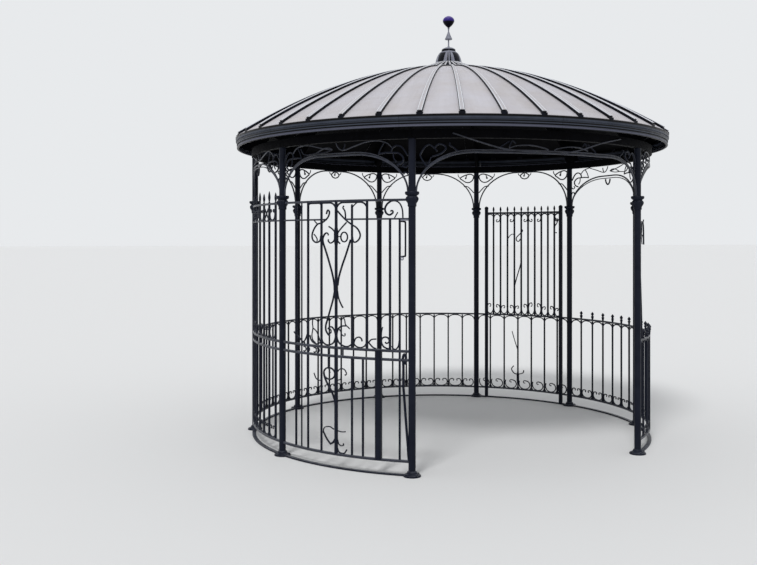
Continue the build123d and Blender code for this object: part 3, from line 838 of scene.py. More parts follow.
def lyre_band():
    """The running scrolls that stand on the mid rail beside the two cups."""
    big_spiral = [(0.424, 0.864), (0.396, 0.866), (0.371, 0.880), (0.358, 0.907), (0.362, 0.930),
                  (0.378, 0.942), (0.400, 0.941), (0.414, 0.926), (0.412, 0.908), (0.398, 0.901)]
    return [
        scroll([(-0.424, 0.936), (-0.398, 0.918), (-0.360, 0.898), (-0.330, 0.875), (-0.300, 0.864)]),
        scroll([(-0.330, 0.862), (-0.304, 0.878), (-0.286, 0.904), (-0.276, 0.926)]),
        scroll([(-0.246, 0.924), (-0.236, 0.894), (-0.206, 0.870), (-0.168, 0.866), (-0.142, 0.880)]),
        scroll([(-0.215, 1.052), (-0.221, 1.010), (-0.216, 0.976), (-0.226, 0.925), (-0.216, 0.890),
                (-0.190, 0.873)], girth=fine_girth),
        scroll([(-0.208, 0.974), (-0.178, 0.952), (-0.158, 0.916), (-0.146, 0.884)], girth=fine_girth),
        scroll([(0.137, 0.904), (0.160, 0.873), (0.197, 0.862), (0.233, 0.876), (0.250, 0.908)]),
        scroll([(0.148, 0.892), (0.156, 0.916), (0.170, 0.930), (0.192, 0.934), (0.208, 0.922),
                (0.212, 0.906)]),
        scroll([(0.262, 0.900), (0.284, 0.922), (0.320, 0.927)]),
        scroll([(0.262, 0.902), (0.280, 0.882), (0.300, 0.866), (0.320, 0.861)]),
        scroll(big_spiral, end=(0.010, 0.3, -1), girth=scroll_girth * 1.1),
        scroll([(0.367, 1.012), (0.359, 0.975), (0.358, 0.925)], girth=fine_girth),
        scroll([(0.434, 0.884), (0.444, 0.866), (0.462, 0.862), (0.480, 0.884), (stile - 0.003, 0.922)]),
    ]


def lyre_foot():
    """The ring, the tail and the small curls below the mid rails."""
    lines = [
        upright(-0.069, 0.704, under_mid_rail, scroll_girth),
        oval(-0.061, 0.664, 0.050, 0.041, scroll_girth * 1.15),
        scroll([(-0.069, 0.704), (-0.062, 0.690), (-0.062, 0.676)], end=(0.006, 0.4, 1), girth=fine_girth),
        scroll([(-0.110, 0.664), (-0.103, 0.636), (-0.077, 0.589), (-0.041, 0.540), (-0.015, 0.483),
                (-0.004, 0.410)], girth=scroll_girth * 1.3),
        scroll([(0.008, 0.676), (0.028, 0.699), (0.050, 0.706), (0.072, 0.700), (0.086, 0.680)],
               end=(0.014, 0.4, -1), girth=fine_girth),
        scroll([(0.008, 0.622), (0.032, 0.627), (0.044, 0.640)], girth=fine_girth),
        scroll([(-0.206, 0.655), (-0.186, 0.620), (-0.160, 0.608), (-0.136, 0.608)], girth=fine_girth),
        scroll([(-0.115, 0.246), (-0.084, 0.200), (-0.050, 0.166)], girth=scroll_girth * 1.1),
        scroll([(-0.050, 0.166), (-0.026, 0.180), (-0.004, 0.212)], girth=scroll_girth * 1.4),
        scroll([(-0.115, 0.246), (-0.108, 0.272), (-0.084, 0.284), (-0.050, 0.286), (-0.020, 0.272)],
               girth=fine_girth),
        scroll([(0.012, 0.142), (0.022, 0.120), (0.046, 0.111), (0.072, 0.116), (0.090, 0.142)]),
        scroll([(0.012, 0.205), (0.022, 0.176), (0.040, 0.164), (0.058, 0.166)], end=(0.010, 0.4, 1),
               girth=fine_girth),
        scroll([(0.008, 0.267), (0.046, 0.262), (0.080, 0.266)], girth=fine_girth),
        upright(0.058, lower_mid_rail, mid_rail, scroll_girth),
    ]
    middle = (lower_mid_rail + mid_rail) / 2
    for along in (-0.300, -0.262, -0.195, -0.165):
        hook = beside(along, [(-0.012, middle + 0.014), (0.002, middle + 0.018), (0.013, middle),
                              (0, middle - 0.017), (-0.013, middle - 0.012)])
        lines.append(scroll(hook, girth=fine_girth))
    return lines


def lyre_frieze():
    """The hoops between the bars under the top rail, and the large scroll beside the stile."""
    top = under_top_rail - 0.004
    tight = (0.024, 0.024)
    swept = (0.054, 0.058)
    girth = scroll_girth * 1.2
    lines = [
        hoop(lyre_bars[1], lyre_bars[2], top, tight, tight, girth),
        hoop(lyre_bars[2], 0, top, (0.004, 0.004), swept, girth),
        hoop(0, lyre_bars[5], top, swept, (0.050, 0.050), girth),
    ]
    lines.append(scroll([
        (0.424, under_top_rail - 0.002), (0.398, 1.855), (0.384, 1.825), (0.392, 1.796), (0.416, 1.782),
        (0.436, 1.792),
    ], end=(0.014, 0.6, 1), girth=scroll_girth * 1.3))
    lines.append(scroll([
        (0.424, under_top_rail - 0.002), (0.456, under_top_rail + 0.001), (0.488, 1.862), (0.508, 1.818),
        (0.512, thin_rail),
    ], girth=scroll_girth))
    lines.append(straight((0.476, 1.800), (0.450, 1.757), fine_girth))
    return lines


def lyre_stay():
    """The hooked rod beside the stile that leans out to the post's foot."""
    foot = at_angle(20) - post_radius + 0.004
    return [
        scroll([(stay_bar + 0.012, lower_mid_rail - 0.030), (stay_bar + 0.018, lower_mid_rail + 0.018),
                (stay_bar + 0.006, lower_mid_rail + 0.040), (stay_bar - 0.004, lower_mid_rail + 0.010),
                (stay_bar, lower_mid_rail - 0.040), (stay_bar, 0.600), (stay_bar + 0.004, 0.560),
                (foot, 0.092)], girth=full * 1.15),
    ]


def rail_reach(half):
    """Half the length of a bay's rails, which end just inside the posts."""
    return half - post_radius + 0.002


def lyre_screen(half):
    reach = rail_reach(half)
    lower = [place for place in lyre_bars if place < short_bar] + [short_bar, stile]
    knobbed_bar = lyre_bars[4]
    knob = (knobbed_bar, under_top_rail - 0.022)
    lines = [
        level_bar(bottom_rail, reach, rail_girth), level_bar(lower_mid_rail, reach, rail_girth),
        level_bar(mid_rail, reach, rail_girth), level_bar(top_rail, reach, top_rail_girth),
        level_bar(thin_rail, reach, thin_rail_girth, start=0.085),
        level_bar(thin_rail, -0.085, thin_rail_girth, start=-reach),
    ]
    last_bar = lyre_bars[-1]
    tall_bars = [place for place in lyre_bars if place not in (0, knobbed_bar, last_bar)]
    lines += [upright(place, mid_rail, under_top_rail, full * 1.1) for place in tall_bars]
    lines.append(upright(last_bar, mid_rail, thin_rail, full * 1.1))
    lines.append(upright(slim_bar, bottom_rail, under_top_rail, scroll_girth))
    lines.append(Line([(knobbed_bar, mid_rail), knob], full, balls=[knob]))
    lines += [upright(place, bottom_rail, lower_mid_rail) for place in lower if place]
    lines += [
        upright(stile, mid_rail, thin_rail),
        upright(0, mid_rail, top_rail, full * 1.3),
        upright(0, bottom_rail, mid_rail, full * 1.6),
        upright(stout_bar, bottom_rail, mid_rail, 0.044 / bar),
    ]
    lines += [upright(place, lower_mid_rail, mid_rail) for place in lyre_bars[:3] + [stile]]
    lines += lyre_head() + lyre_tail() + lyre_band() + lyre_foot() + lyre_frieze() + lyre_stay()
    return lines


spear_bars = panel_bars(4, 8)

# Widths of a gap that a cup fills as it is drawn, on the bottom rail and in the tall rear screen
cup_pitch = 0.120
rear_cup_pitch = 0.108


def spear_screen(half):
    reach = rail_reach(half)
    rails = ((bottom_rail, rail_girth), (lower_mid_rail, rail_girth), (mid_rail, rail_girth),
             (thin_rail, thin_rail_girth), (top_rail, top_rail_girth))
    lines = [level_bar(level, reach, girth) for level, girth in rails]
    lines += [upright(place, bottom_rail, top_rail + 0.012, full * 1.12) for place in spear_bars]
    for index, (left, right) in enumerate(zip(spear_bars, spear_bars[1:])):
        middle = (left + right) / 2
        motif = crossed if index % 2 else tulip
        lines += moved(motif(), middle, thin_rail + 0.008, 0.95, 1.05)
        lines += moved((ram_cup if index % 2 else ball_cup)(), middle, over_mid_rail, 1.05, 1.10)
        lines += moved(ram_cup(), middle, bottom_rail + half_rail, 1.05, 1.25)
    return lines


def railing_bars(half):
    """Bars at about five degrees, which divide the bay evenly."""
    gaps = round(2 * degrees(half / ring_radius) / 5)
    step = 2 * half / gaps
    return [step * (index - (gaps - 2) / 2) for index in range(gaps - 1)]


def railing_base(half, cup=ram_cup):
    """Rails, bars with flat hoops from head to head, and cups from foot to foot."""
    reach = rail_reach(half)
    places = railing_bars(half)
    pitch = places[1] - places[0]
    ends = [-reach] + places + [reach]
    gaps = list(zip(ends, ends[1:]))
    corner = (pitch * 0.42, 0.046)
    lines = [level_bar(level, reach, railing_girth) for level in (bottom_rail, mid_rail)]
    lines += [upright(place, bottom_rail, under_mid_rail) for place in places]
    lines += [hoop(left, right, under_mid_rail - 0.002, corner, corner) for left, right in gaps]
    foot = bottom_rail + half_rail * 0.6
    for left, right in gaps:
        lines += moved(cup(), (left + right) / 2, foot, (right - left) / cup_pitch, 1.04)
    for place in places:
        for side in (-1, 1):
            curl = beside(place, [(0, foot + 0.034), (side * 0.007, foot + 0.016), (side * 0.019, foot)])
            lines.append(scroll(curl, girth=fine_girth))
    return lines


def knobbed_railing(half):
    """A railing whose bars pass through small rings on the mid rail."""
    lines = railing_base(half)
    for place in railing_bars(half):
        lines.append(oval(place, over_mid_rail + 0.017, 0.012, 0.012, fine_girth, 12))
    return lines


upright_angle = 14
uprights = (-at_angle(upright_angle), at_angle(upright_angle))
upright_width = 0.032
upright_foot = 0.009
upright_top = 1.925
rear_bar_count = 10
rear_bars = panel_bars(2 * upright_angle / (rear_bar_count + 1), rear_bar_count)


def rear_screen(half):
    """The tall screen between two stout uprights of its own, drawn as it is seen from outside."""
    places = rear_bars
    edges = [uprights[0]] + places + [uprights[1]]
    pitch = places[1] - places[0]
    top = under_top_rail - 0.004
    lines = railing_base(half, ball_cup)
    lines.append(level_bar(top_rail, uprights[1], rail_girth))
    lines += [upright(place, mid_rail, under_top_rail, full * 1.15) for place in places]
    lines += [upright(place, upright_foot, upright_top, upright_width / bar) for place in uprights]
    stretch = pitch / rear_cup_pitch
    heights = (0.95, 1.15, 1.05, 1.40, 1.45, 1.25, 1.00, 1.05, 1.00, 1.10, 1.20)
    gaps_with_hanging_cups = (0, 3, 4, 5, 7, 9)
    for index, (left, right) in enumerate(zip(edges, edges[1:])):
        middle = (left + right) / 2
        cups = ball_cup() if index % 2 else mirrored_once(ball_cup())
        lines += moved(cups, middle, over_mid_rail, stretch, heights[index])
        if index in gaps_with_hanging_cups:
            hanging = [line.changed(lambda x, z: (x, -z)) for line in cups]
            lines += moved(hanging, middle, top, stretch, 0.95)
        else:
            corner = (pitch / 2, pitch / 2)
            lines.append(hoop(left, right, top, corner, corner))
    edge, split, next_bar = places[0], places[5], places[6]
    low_bar = railing_bars(half)[3]
    lines += [
        scroll(beside(split, [(0, 1.722), (-0.014, 1.702), (0.014, 1.672), (0.050, 1.636), (0.050, 1.606),
                              (0.028, 1.596), (0.010, 1.620)])),
        scroll(beside(next_bar, [(0.070, 1.622), (0.044, 1.658), (0.014, 1.670), (0, 1.646)]),
               girth=fine_girth),
        scroll(beside(split, [(0, 1.400), (0.014, 1.340), (0.048, 1.230)]) + [(next_bar, 1.135)]),
        scroll(beside(edge, [(-0.044, 1.874), (-0.002, 1.845), (-0.036, 1.795), (-0.004, 1.740),
                             (0, 1.680)])),
        Line(beside(edge, [(0, 1.684), (-0.023, 1.682)]), fine_girth, balls=[(edge - 0.023, 1.682)]),
        scroll(beside(low_bar, [(0.062, 0.684), (0.040, 0.610), (0.002, 0.496)]), girth=fine_girth),
        scroll(beside(low_bar, [(0.044, 0.334), (0.068, 0.300), (0.040, 0.260), (0, 0.250)])),
        scroll(beside(low_bar, [(0, 0.250), (-0.054, 0.268), (-0.062, 0.296)])),
        swelling(low_bar, (0.280, 0.250, 0.180, 0.150), full, full * 1.6),
    ]
    return lines


screens = {
    "front_left_screen": ("front_left", lyre_screen),
    "left_screen": ("left", spear_screen),
    "left_rear_railing": ("left_rear", railing_base),
    "rear_left_railing": ("rear_left", railing_base),
    "rear_right_railing": ("rear_right", railing_base),
    "right_rear_screen": ("right_rear", rear_screen),
    "right_railing": ("right", knobbed_railing),
    "front_right_railing": ("front_right", knobbed_railing),
}

curl_ends = []


def dress_wall(node, ends, drawing):
    """Forges a drawing on the wall between two posts in place of a node, and notes where its curls end."""
    middle, half = bay_middle(ends)
    lines = drawing(half)
    # The rails' paler finish is a painted highlight.
    for label, finish, painted_highlight in (("_bars", ironwork, False), ("_rails", rail_paint, True)):
        chosen = [line for line in lines if line.painted_highlight is painted_highlight]
        if chosen:
            keep(forged(node + label, wall_runs(chosen, middle), finish), "ironwork", node)
    for line in lines:
        curl_ends.extend(wall_point(along, level, middle, line.lift) for along, level in line.balls)


for node, (bay, drawing) in screens.items():
    dress_wall(node, bays[bay], drawing)


# Arches
arch_girth = 0.012 / bar
arch_reach = 0.390
front_crown = 2.205
rear_crown = beam_bottom - 0.0065


def arch_bar(half, crown, girth=arch_girth, lift=0.0):
    """The arch from collar to collar: two rounded corners and a level middle."""
    foot = half - post_radius - 0.004
    rise = crown - collar_top
    corner = min(arch_reach, foot)
    quarter = [pi / 2 * index / 14 for index in range(15)]
    right = [(foot - corner * (1 - cos(turn)), collar_top + rise * sin(turn)) for turn in quarter]
    left = [(-along, level) for along, level in right]
    level_run = [(x, collar_top + rise) for x in (-(foot - corner) / 2, 0, (foot - corner) / 2)]
    return Line(left + level_run + right[::-1], girth, lift=lift, painted_highlight=True)


def corner_scrolls(half):
    """The loop that leaves the arch, the hook over it and the small curls, drawn for the right-hand post."""
    post = half - post_radius
    loop = beside(post, [(-0.215, 2.203), (-0.170, 2.208), (-0.122, 2.208), (-0.070, 2.203), (-0.036, 2.172),
                         (-0.046, 2.138), (-0.082, 2.122)])
    hook = beside(post, [(-0.122, 2.210), (-0.114, 2.240), (-0.080, 2.256), (-0.042, 2.240), (-0.006, 2.186)])
    upper_curl = beside(post, [(-0.002, 2.118), (-0.020, 2.104), (-0.036, 2.112)])
    lower_curl = beside(post, [(-0.002, 2.052), (-0.012, 2.068), (-0.026, 2.072)])
    return [
        scroll(loop, girth=scroll_girth * 1.1),
        scroll(hook, girth=scroll_girth * 1.1),
        scroll(beside(post, [(-0.106, 2.207), (-0.104, 2.172), (-0.086, 2.146)]), girth=fine_girth),
        scroll(upper_curl, end=(0.010, 0.5, -1), girth=fine_girth),
        scroll(lower_curl, end=(0.008, 0.5, 1), girth=fine_girth),
    ]


def crown_swags(half):
    """Thin rods that swing from the crown up to the beam and down to the corners, with a lens on one side."""
    post = half - post_radius
    outer = [(0.239, 2.288)] + beside(post, [(-0.223, 2.294), (-0.154, 2.276), (-0.114, 2.240)])
    swung = [(0, 2.292), (0.016, 2.262), (0.050, 2.240), (0.100, 2.248), (0.152, 2.264)] + outer
    other = [(0.034, 2.246), (0.060, 2.250), (0.152, 2.268)] + outer
    strut = beside(post, [(-0.215, 2.203), (-0.196, 2.246), (-0.172, 2.280)])
    struts = mirrored([scroll(strut, girth=fine_girth)])
    return struts + mirrored_once([scroll(other, girth=fine_girth, painted_highlight=True)]) + [
        scroll(swung, girth=fine_girth, painted_highlight=True),
        scroll([(0.058, 2.242), (0.070, 2.262), (0.074, 2.284)], girth=fine_girth),
        scroll([(-0.180, 2.232), (-0.140, 2.250), (-0.100, 2.262), (-0.060, 2.260), (-0.034, 2.248)],
               girth=fine_girth, painted_highlight=True),
        scroll([(-0.180, 2.232), (-0.130, 2.230), (-0.080, 2.236), (-0.034, 2.248)], girth=fine_girth),
        scroll([(-0.345, 2.272), (-0.322, 2.240), (-0.290, 2.226), (-0.240, 2.226), (-0.180, 2.232)],
               girth=fine_girth),
    ]


def front_bars(half):
    """The arch and the fine line that runs over it."""
    return [arch_bar(half, front_crown), arch_bar(half, front_crown + 0.015, fine_girth, lift=0.001)]


def front_arch(half):
    return front_bars(half) + mirrored(corner_scrolls(half)) + crown_swags(half)


def side_arch(half):
    """An arch like the front ones, with a second line and a hook under its crown."""
    low = front_crown - 0.030
    lines = [arch_bar(half, front_crown), arch_bar(half, front_crown - 0.022, fine_girth)]
    lines += mirrored(corner_scrolls(half)) + crown_swags(half)
    hook = [(0.034, low), (0.026, low - 0.030), (0.004, low - 0.052)]
    return lines + mirrored([scroll(hook, girth=scroll_girth * 1.2)])


def rear_corner_scrolls(half):
    """An eye-shaped ring beside the post under the beam with a drop in it, and a strut from arch to post."""
    post = half - post_radius
    top = beam_bottom - 0.006
    eye = beside(post, [
        (-0.002, top - 0.030), (-0.014, top - 0.066), (-0.046, top - 0.090), (-0.084, top - 0.088),
        (-0.118, top - 0.066), (-0.142, top - 0.048), (-0.112, top - 0.026), (-0.076, top - 0.012),
        (-0.040, top - 0.006), (-0.012, top - 0.016), (-0.002, top - 0.030),
    ])
    drop = beside(post, [(-0.072, top - 0.012), (-0.080, top - 0.032), (-0.086, top - 0.052)])
    tip = beside(post, [(-0.142, top - 0.048), (-0.160, top - 0.026), (-0.164, top - 0.004)])
    return [
        scroll(eye, girth=scroll_girth * 1.15),
        Line(drop, [fine_girth, scroll_girth, scroll_girth * 1.9], balls=drop[-1:]),
        scroll(beside(post, [(-0.104, 2.162), (-0.066, 2.160), (-0.034, 2.132), (-0.002, 2.096)])),
        scroll(tip, girth=fine_girth),
    ]


def rear_arch(half):
    """An arch up to the beam with a pointed ring hanging under its crown."""
    low = rear_crown - 0.006
    ring = [(0.010, low), (0.034, low - 0.014), (0.046, low - 0.030), (0.030, low - 0.052), (0, low - 0.062)]
    lines = [arch_bar(half, rear_crown)] + mirrored(rear_corner_scrolls(half))
    lines += mirrored([
        scroll(ring, girth=scroll_girth * 1.1),
        scroll([(0.046, low - 0.030), (0.062, low - 0.020), (0.070, low - 0.004)], girth=fine_girth),
    ])
    lines.append(Line([(0, low), (0.003, low - 0.020), (0.008, low - 0.034)],
                      [fine_girth, scroll_girth, scroll_girth * 1.8], balls=[(0.008, low - 0.034)]))
    return lines


arch_drawings = {
    "front_left": front_arch,
    "left": side_arch,
    "left_rear": rear_arch,
    "rear_left": rear_arch,
    "rear_right": rear_arch,
    "right_rear": rear_arch,
    "right": side_arch,
    "front_right": front_arch,
}

for bay, drawing in arch_drawings.items():
    dress_wall(bay + "_arch", bays[bay], drawing)


def doorway_arch(half):
    """The wide arch with hooks and eyes in its corners and rods that swing to a long lens over its crown."""
    post = half - post_radius
    level = front_crown + 0.016
    hook = beside(post, [(-0.030, 2.190), (-0.060, 2.238), (-0.090, 2.256), (-0.122, 2.240), (-0.146, 2.212)])
    eye = beside(post, [(-0.128, 2.236), (-0.158, 2.260), (-0.192, 2.252), (-0.206, 2.232), (-0.184, 2.204),
                        (-0.150, 2.186), (-0.112, 2.176)])
    curl = beside(post, [(-0.232, 2.252), (-0.256, 2.236), (-0.288, 2.210)])
    lens = beside(post, [(-0.640, 2.234), (-0.700, 2.252), (-0.800, 2.256), (-0.900, 2.240), (-0.930, 2.228)])
    level_rod = beside(post, [(-0.600, level), (-0.700, level), (-0.800, level), (-0.930, level)])
    sides = [
        scroll(hook, girth=scroll_girth * 1.1),
        scroll(eye, girth=scroll_girth * 1.1),
        scroll(beside(post, [(-0.028, 2.190), (-0.056, 2.136), (-0.082, 2.108)])),
        scroll(beside(post, [(-0.106, 2.172), (-0.092, 2.140), (-0.082, 2.112)]), girth=fine_girth),
        scroll(curl, start=(0.010, 0.4, -1)),
        scroll(lens, girth=fine_girth, painted_highlight=True),
        scroll(level_rod, girth=fine_girth * 1.2, painted_highlight=True),
        scroll(beside(post, [(-0.640, 2.242), (-0.662, 2.284), (-0.686, 2.266)]), girth=fine_girth),
        scroll(beside(post, [(-0.560, 2.228), (-0.600, 2.256), (-0.640, 2.280)]), girth=fine_girth),
    ]
    return front_bars(half) + mirrored(sides)


dress_wall("doorway_arch", doorway, doorway_arch)

swag_girth = 0.009
swag_places = [
    (-0.703, 2.332), (-0.527, 2.274), (-0.354, 2.228), (-0.200, 2.214), (-0.045, 2.207), (0.080, 2.209),
    (0.231, 2.236), (0.428, 2.294), (0.650, 2.340),
]


def swag_run():
    """The rod that rests on the arch's face at the crown and swings up in front of the beam on both sides."""
    middle, _ = bay_middle(doorway)
    near = arch_girth * bar / 2 + swag_girth / 2 - 0.001
    far = beam_face + swag_girth / 2 - 0.001
    points = []
    for along, level in smooth(swag_places):
        share = (level - front_crown) / (beam_bottom - 0.014 - front_crown)
        points.append(wall_point(along, level, middle, near + (far - near) * min(1.0, max(0.0, share))))
    return even_run(points)


# The swag takes the rails' paler paint, a painted highlight.
keep(forged("doorway_swag", [swag_run()], rail_paint, swag_girth, swag_girth, 0.002),
     "ironwork", "doorway_arch")


# Fittings beside the doorway, and the ring on the ground
def scroll_arm(half):
    """The bracket on the doorway's right post: a hooked arm, a loop under it and a leaning drop rod."""
    post = -half
    top = 1.745
    root = (post + post_radius - 0.004, top + 0.006)
    loop = beside(post, [
        (0.087, top - 0.008), (0.092, 1.693), (0.084, 1.659), (0.062, 1.637), (0.046, 1.645),
    ])
    arm = beside(post, [
        (0.084, top - 0.008), (0.098, top + 0.002), (0.120, top + 0.001), (0.140, 1.728), (0.149, 1.690),
        (0.153, 1.630), (0.157, 1.575),
    ])
    drop = beside(post, [
        (0.048, 1.722), (0.048, 1.620), (0.049, 1.480), (0.055, 1.400), (0.070, 1.290), (0.080, 1.190),
        (0.090, 1.100), (0.100, 0.980), (0.104, over_mid_rail + 0.004),
    ])
    tie = beside(post, [(0.089, 1.654), (0.104, 1.648), (0.128, 1.640), (0.146, 1.618), (0.152, 1.600)])
    return [
        straight(root, (post + 0.088, top - 0.006), scroll_girth * 1.2, painted_highlight=True),
        scroll(loop, end=(0.016, 0.4, -1), girth=scroll_girth * 1.15),
        scroll(arm, girth=scroll_girth * 1.15),
        scroll(drop, girth=scroll_girth),
        scroll(tie, girth=fine_girth),
        scroll(beside(post, [(0.088, 1.660), (0.096, 1.618), (0.108, 1.578)]), girth=fine_girth * 0.8),
        scroll(beside(post, [(0.136, 1.736), (0.146, 1.752), (0.152, 1.766)]), girth=fine_girth),
    ]


dress_wall("scroll_arm", bays["front_right"], scroll_arm)

handle_low, handle_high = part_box("grab_handle")
grip_rod = 0.012
grip_lift = -0.043
grip_side = stile + 0.030


def grip_points():
    """The handle's line: in from the bar's inner face, to the side, up and back, as along, level and lift."""
    low = handle_low.z + grip_rod / 2
    high = handle_high.z - grip_rod / 2
    face = -bar / 2
    half_way = [
        (stile, low, face), (stile + 0.004, low, face - 0.012),
        (stile + 0.016, low + 0.001, grip_lift + 0.008),
        (grip_side - 0.003, low + 0.006, grip_lift), (grip_side, low + 0.022, grip_lift),
    ]
    return half_way + [(along, low + high - level, lift) for along, level, lift in half_way[::-1]]


grip_middle, front_left_half = bay_middle(bays["front_left"])
grip = [wall_point(along, level, grip_middle, lift) for along, level, lift in smooth(grip_points(), 4)]
keep(forged("grip_rod", [even_run(grip)], ironwork, grip_rod, grip_rod, grip_rod * 0.42, 4),
     "ironwork", "grab_handle")

strap_level = handle_high.z + 0.002
strap_end = (front_left_half - post_radius + 0.003, strap_level)
strap = [
    straight((stile - 0.004, strap_level), strap_end, scroll_girth * 1.1),
    oval(stile + 0.016, handle_low.z - 0.006, 0.009, 0.010, fine_girth, 12),
]
keep(forged("grip_strap", wall_runs(strap, grip_middle), pale_metal), "ironwork", "grab_handle")

ring_height = 0.012
ring_width = 0.030
ring_steps = 120
ring_start = radians(post_angles["doorway_right"])
ring_sweep = 2 * pi - 2 * ring_start
ground_ring = []
for index in range(ring_steps + 1):
    turn = ring_start + ring_sweep * index / ring_steps
    ground_ring.append(Vector((ring_radius * sin(turn), -ring_radius * cos(turn), ring_height / 2)))
keep(forged("ground_ring", [even_run(ground_ring)], ironwork, ring_height, ring_width, 0.002),
     "ironwork", "base_ring")


# Castings on the posts, points and balls
casting_core = post_radius - 0.001


def raised(outline, foot, core=0.0):
    """An outline whose radii are counted from a core and whose heights are counted from a foot."""
    return [(core + radius, foot + level, *flute) for radius, level, *flute in outline]


def cast_collar():
    """The ringed collar: a neck, a leafy bead and a flange."""
    outline = [
        (0, 0), (0.005, 0.003), (0.007, 0.010), (0.006, 0.020), (0.009, 0.028, 0.001), (0.016, 0.038, 0.003),
        (0.021, 0.050, 0.005), (0.021, 0.060, 0.005), (0.016, 0.069, 0.003), (0.009, 0.074), (0.011, 0.078),
        (0.020, 0.083), (0.025, 0.090), (0.025, 0.101), (0.022, 0.105), (0, 0.105),
    ]
    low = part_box("post_collars")[0].z
    return turned_piece("collar", raised(outline, low, casting_core), sides=48, flutes=12)


def cast_foot():
    """The round foot: a flange, a step and a boss round the post."""
    return turned_piece("foot", [
        (0.061, 0), (0.061, 0.008), (0.058, 0.012), (0.046, 0.0135), (0.044, 0.018), (0.038, 0.020),
        (0.036, 0.026), (0.032, 0.034), (0.028, 0.037), (casting_core, 0.038),
    ], sides=40)


def spear_tip():
    """A flat leaf-shaped point on a small collar."""
    return turned_piece("spear", [
        (0.0080, 0), (0.0098, 0.006), (0.0080, 0.012), (0.0066, 0.016), (0.0105, 0.026), (0.0132, 0.040),
        (0.0126, 0.056), (0.0090, 0.074), (0.0050, 0.087), (0.0010, 0.095),
    ], sides=12, flattened=0.70)


def ringed_knob():
    """A small spike with a ring round its neck and a bud on top."""
    return turned_piece("knob", [
        (0.0060, 0), (0.0060, 0.010), (0.0048, 0.018), (0.0090, 0.024), (0.0090, 0.028), (0.0045, 0.033),
        (0.0085, 0.040), (0.0100, 0.046), (0.0075, 0.053), (0.0030, 0.060), (0.0006, 0.064),
    ], sides=12)


def small_ball():
    """The ball at the end of a curl, one unit in radius round its own middle."""
    levels = 7
    return turned_piece("ball", [
        (max(0.04, sin(pi * index / levels)), -cos(pi * index / levels)) for index in range(levels + 1)
    ], sides=9)


def bolt_head():
    return turned_piece("bolt", [(0.0068, 0), (0.0068, 0.0050), (0.0052, 0.0064)], sides=6)


def post_spots(level=0.0):
    """A spot on the axis of every post, turned as the post stands on the ring."""
    turns = [radians(angle) for angle in post_angles.values()]
    return [(Vector((ring_radius * sin(turn), -ring_radius * cos(turn), level)), turn, 1.0) for turn in turns]


keep(set_pieces("cast_collars", cast_collar(), post_spots(), castings), "castings", "post_collars")
keep(set_pieces("cast_feet", cast_foot(), post_spots(), castings), "castings", "post_feet")

bolt_reach = 0.050
bolt_level = 0.0125
bolts = []
for centre, turn, _ in post_spots(bolt_level):
    for index in range(4):
        way = turn + pi / 4 + pi / 2 * index
        bolts.append((centre + Vector((bolt_reach * cos(way), bolt_reach * sin(way), 0)), way, 1.0))
keep(set_pieces("foot_bolts", bolt_head(), bolts, castings), "castings")


def wall_spots(bay, places, level, size=1.0):
    """Spots on a bay's wall, turned to face outwards."""
    middle, _ = bay_middle(bays[bay])
    return [(wall_point(place, level, middle), middle + place / ring_radius, size) for place in places]


point_level = top_rail + 0.006
short_spear = (1.0, 1.0, 0.84)
small_spear = (0.80, 0.80, 0.64)
spears = wall_spots("left", spear_bars[::2], point_level)
spears += wall_spots("left", spear_bars[1::2], point_level, short_spear)
keep(set_pieces("spear_points", spear_tip(), spears, ironwork), "ironwork", "left_screen")

small_points = wall_spots("right_rear", rear_bars, point_level, small_spear)
keep(set_pieces("rear_points", spear_tip(), small_points, ironwork), "ironwork", "right_rear_screen")
upright_ball = 0.021
upright_balls = wall_spots("right_rear", uprights, upright_top + 0.008, upright_ball)
keep(set_pieces("upright_balls", small_ball(), upright_balls, ironwork), "ironwork", "right_rear_screen")

knob_size = (1.45, 1.45, 1.15)
for bay in ("right", "front_right"):
    places = railing_bars(bay_middle(bays[bay])[1])
    knobs = wall_spots(bay, places, over_mid_rail - 0.004, knob_size)
    keep(set_pieces(bay + "_knobs", ringed_knob(), knobs, ironwork), "ironwork", bay + "_railing")

ball_radius = 0.0062
keep(set_pieces("scroll_balls", small_ball(), [(place, 0.0, ball_radius) for place in curl_ends], ironwork),
     "ironwork")


# Roof trim
rib_start = 0.098
rib_steps = 34
rib_width = 0.036
rib_depth = 0.021
cap_width = 0.026
cap_depth = 0.004
edge_width = 0.006
edge_depth = 0.006
edge_sides = (-0.0125, 0.0125)
rib_end_girth = 1.0
rib_start_girth = 0.40
skirt_reach = 0.310
skirt_rise = 0.056


def roof_level(reach):
    """Height of the sheets' upper face at a distance from the middle."""
    return roof_apex - roof_drop * (reach / eave) ** roof_power


def skirt_level(reach):
    """Height of the roof with the skirt that climbs to the cap."""
    share = max(0.0, (skirt_reach - reach) / (skirt_reach - rib_start))
    return roof_level(reach) + skirt_rise * share**1.2


def roof_normal(reach, turn):
    step = 0.002
    slope = (skirt_level(reach - step) - skirt_level(reach + step)) / (2 * step)
    return Vector((slope * sin(turn), -slope * cos(turn), 1)).normalized()


def rib_run(turn, start, end, height, side=0.0):
    """A run down the roof, beside a rib's middle and over the sheets as far as its girth makes it."""
    across = Vector((cos(turn), sin(turn), 0))
    points, girths, facings = [], [], []
    for index in range(rib_steps + 1):
        share = index / rib_steps
        reach = start + (end - start) * share
        girth = rib_start_girth + (rib_end_girth - rib_start_girth) * share
        normal = roof_normal(reach, turn)
        foot = Vector((reach * sin(turn), -reach * cos(turn), skirt_level(reach)))
        points.append(foot + (normal * height + across * side) * girth)
        girths.append(girth)
        facings.append(normal)
    return points, girths, facings, False


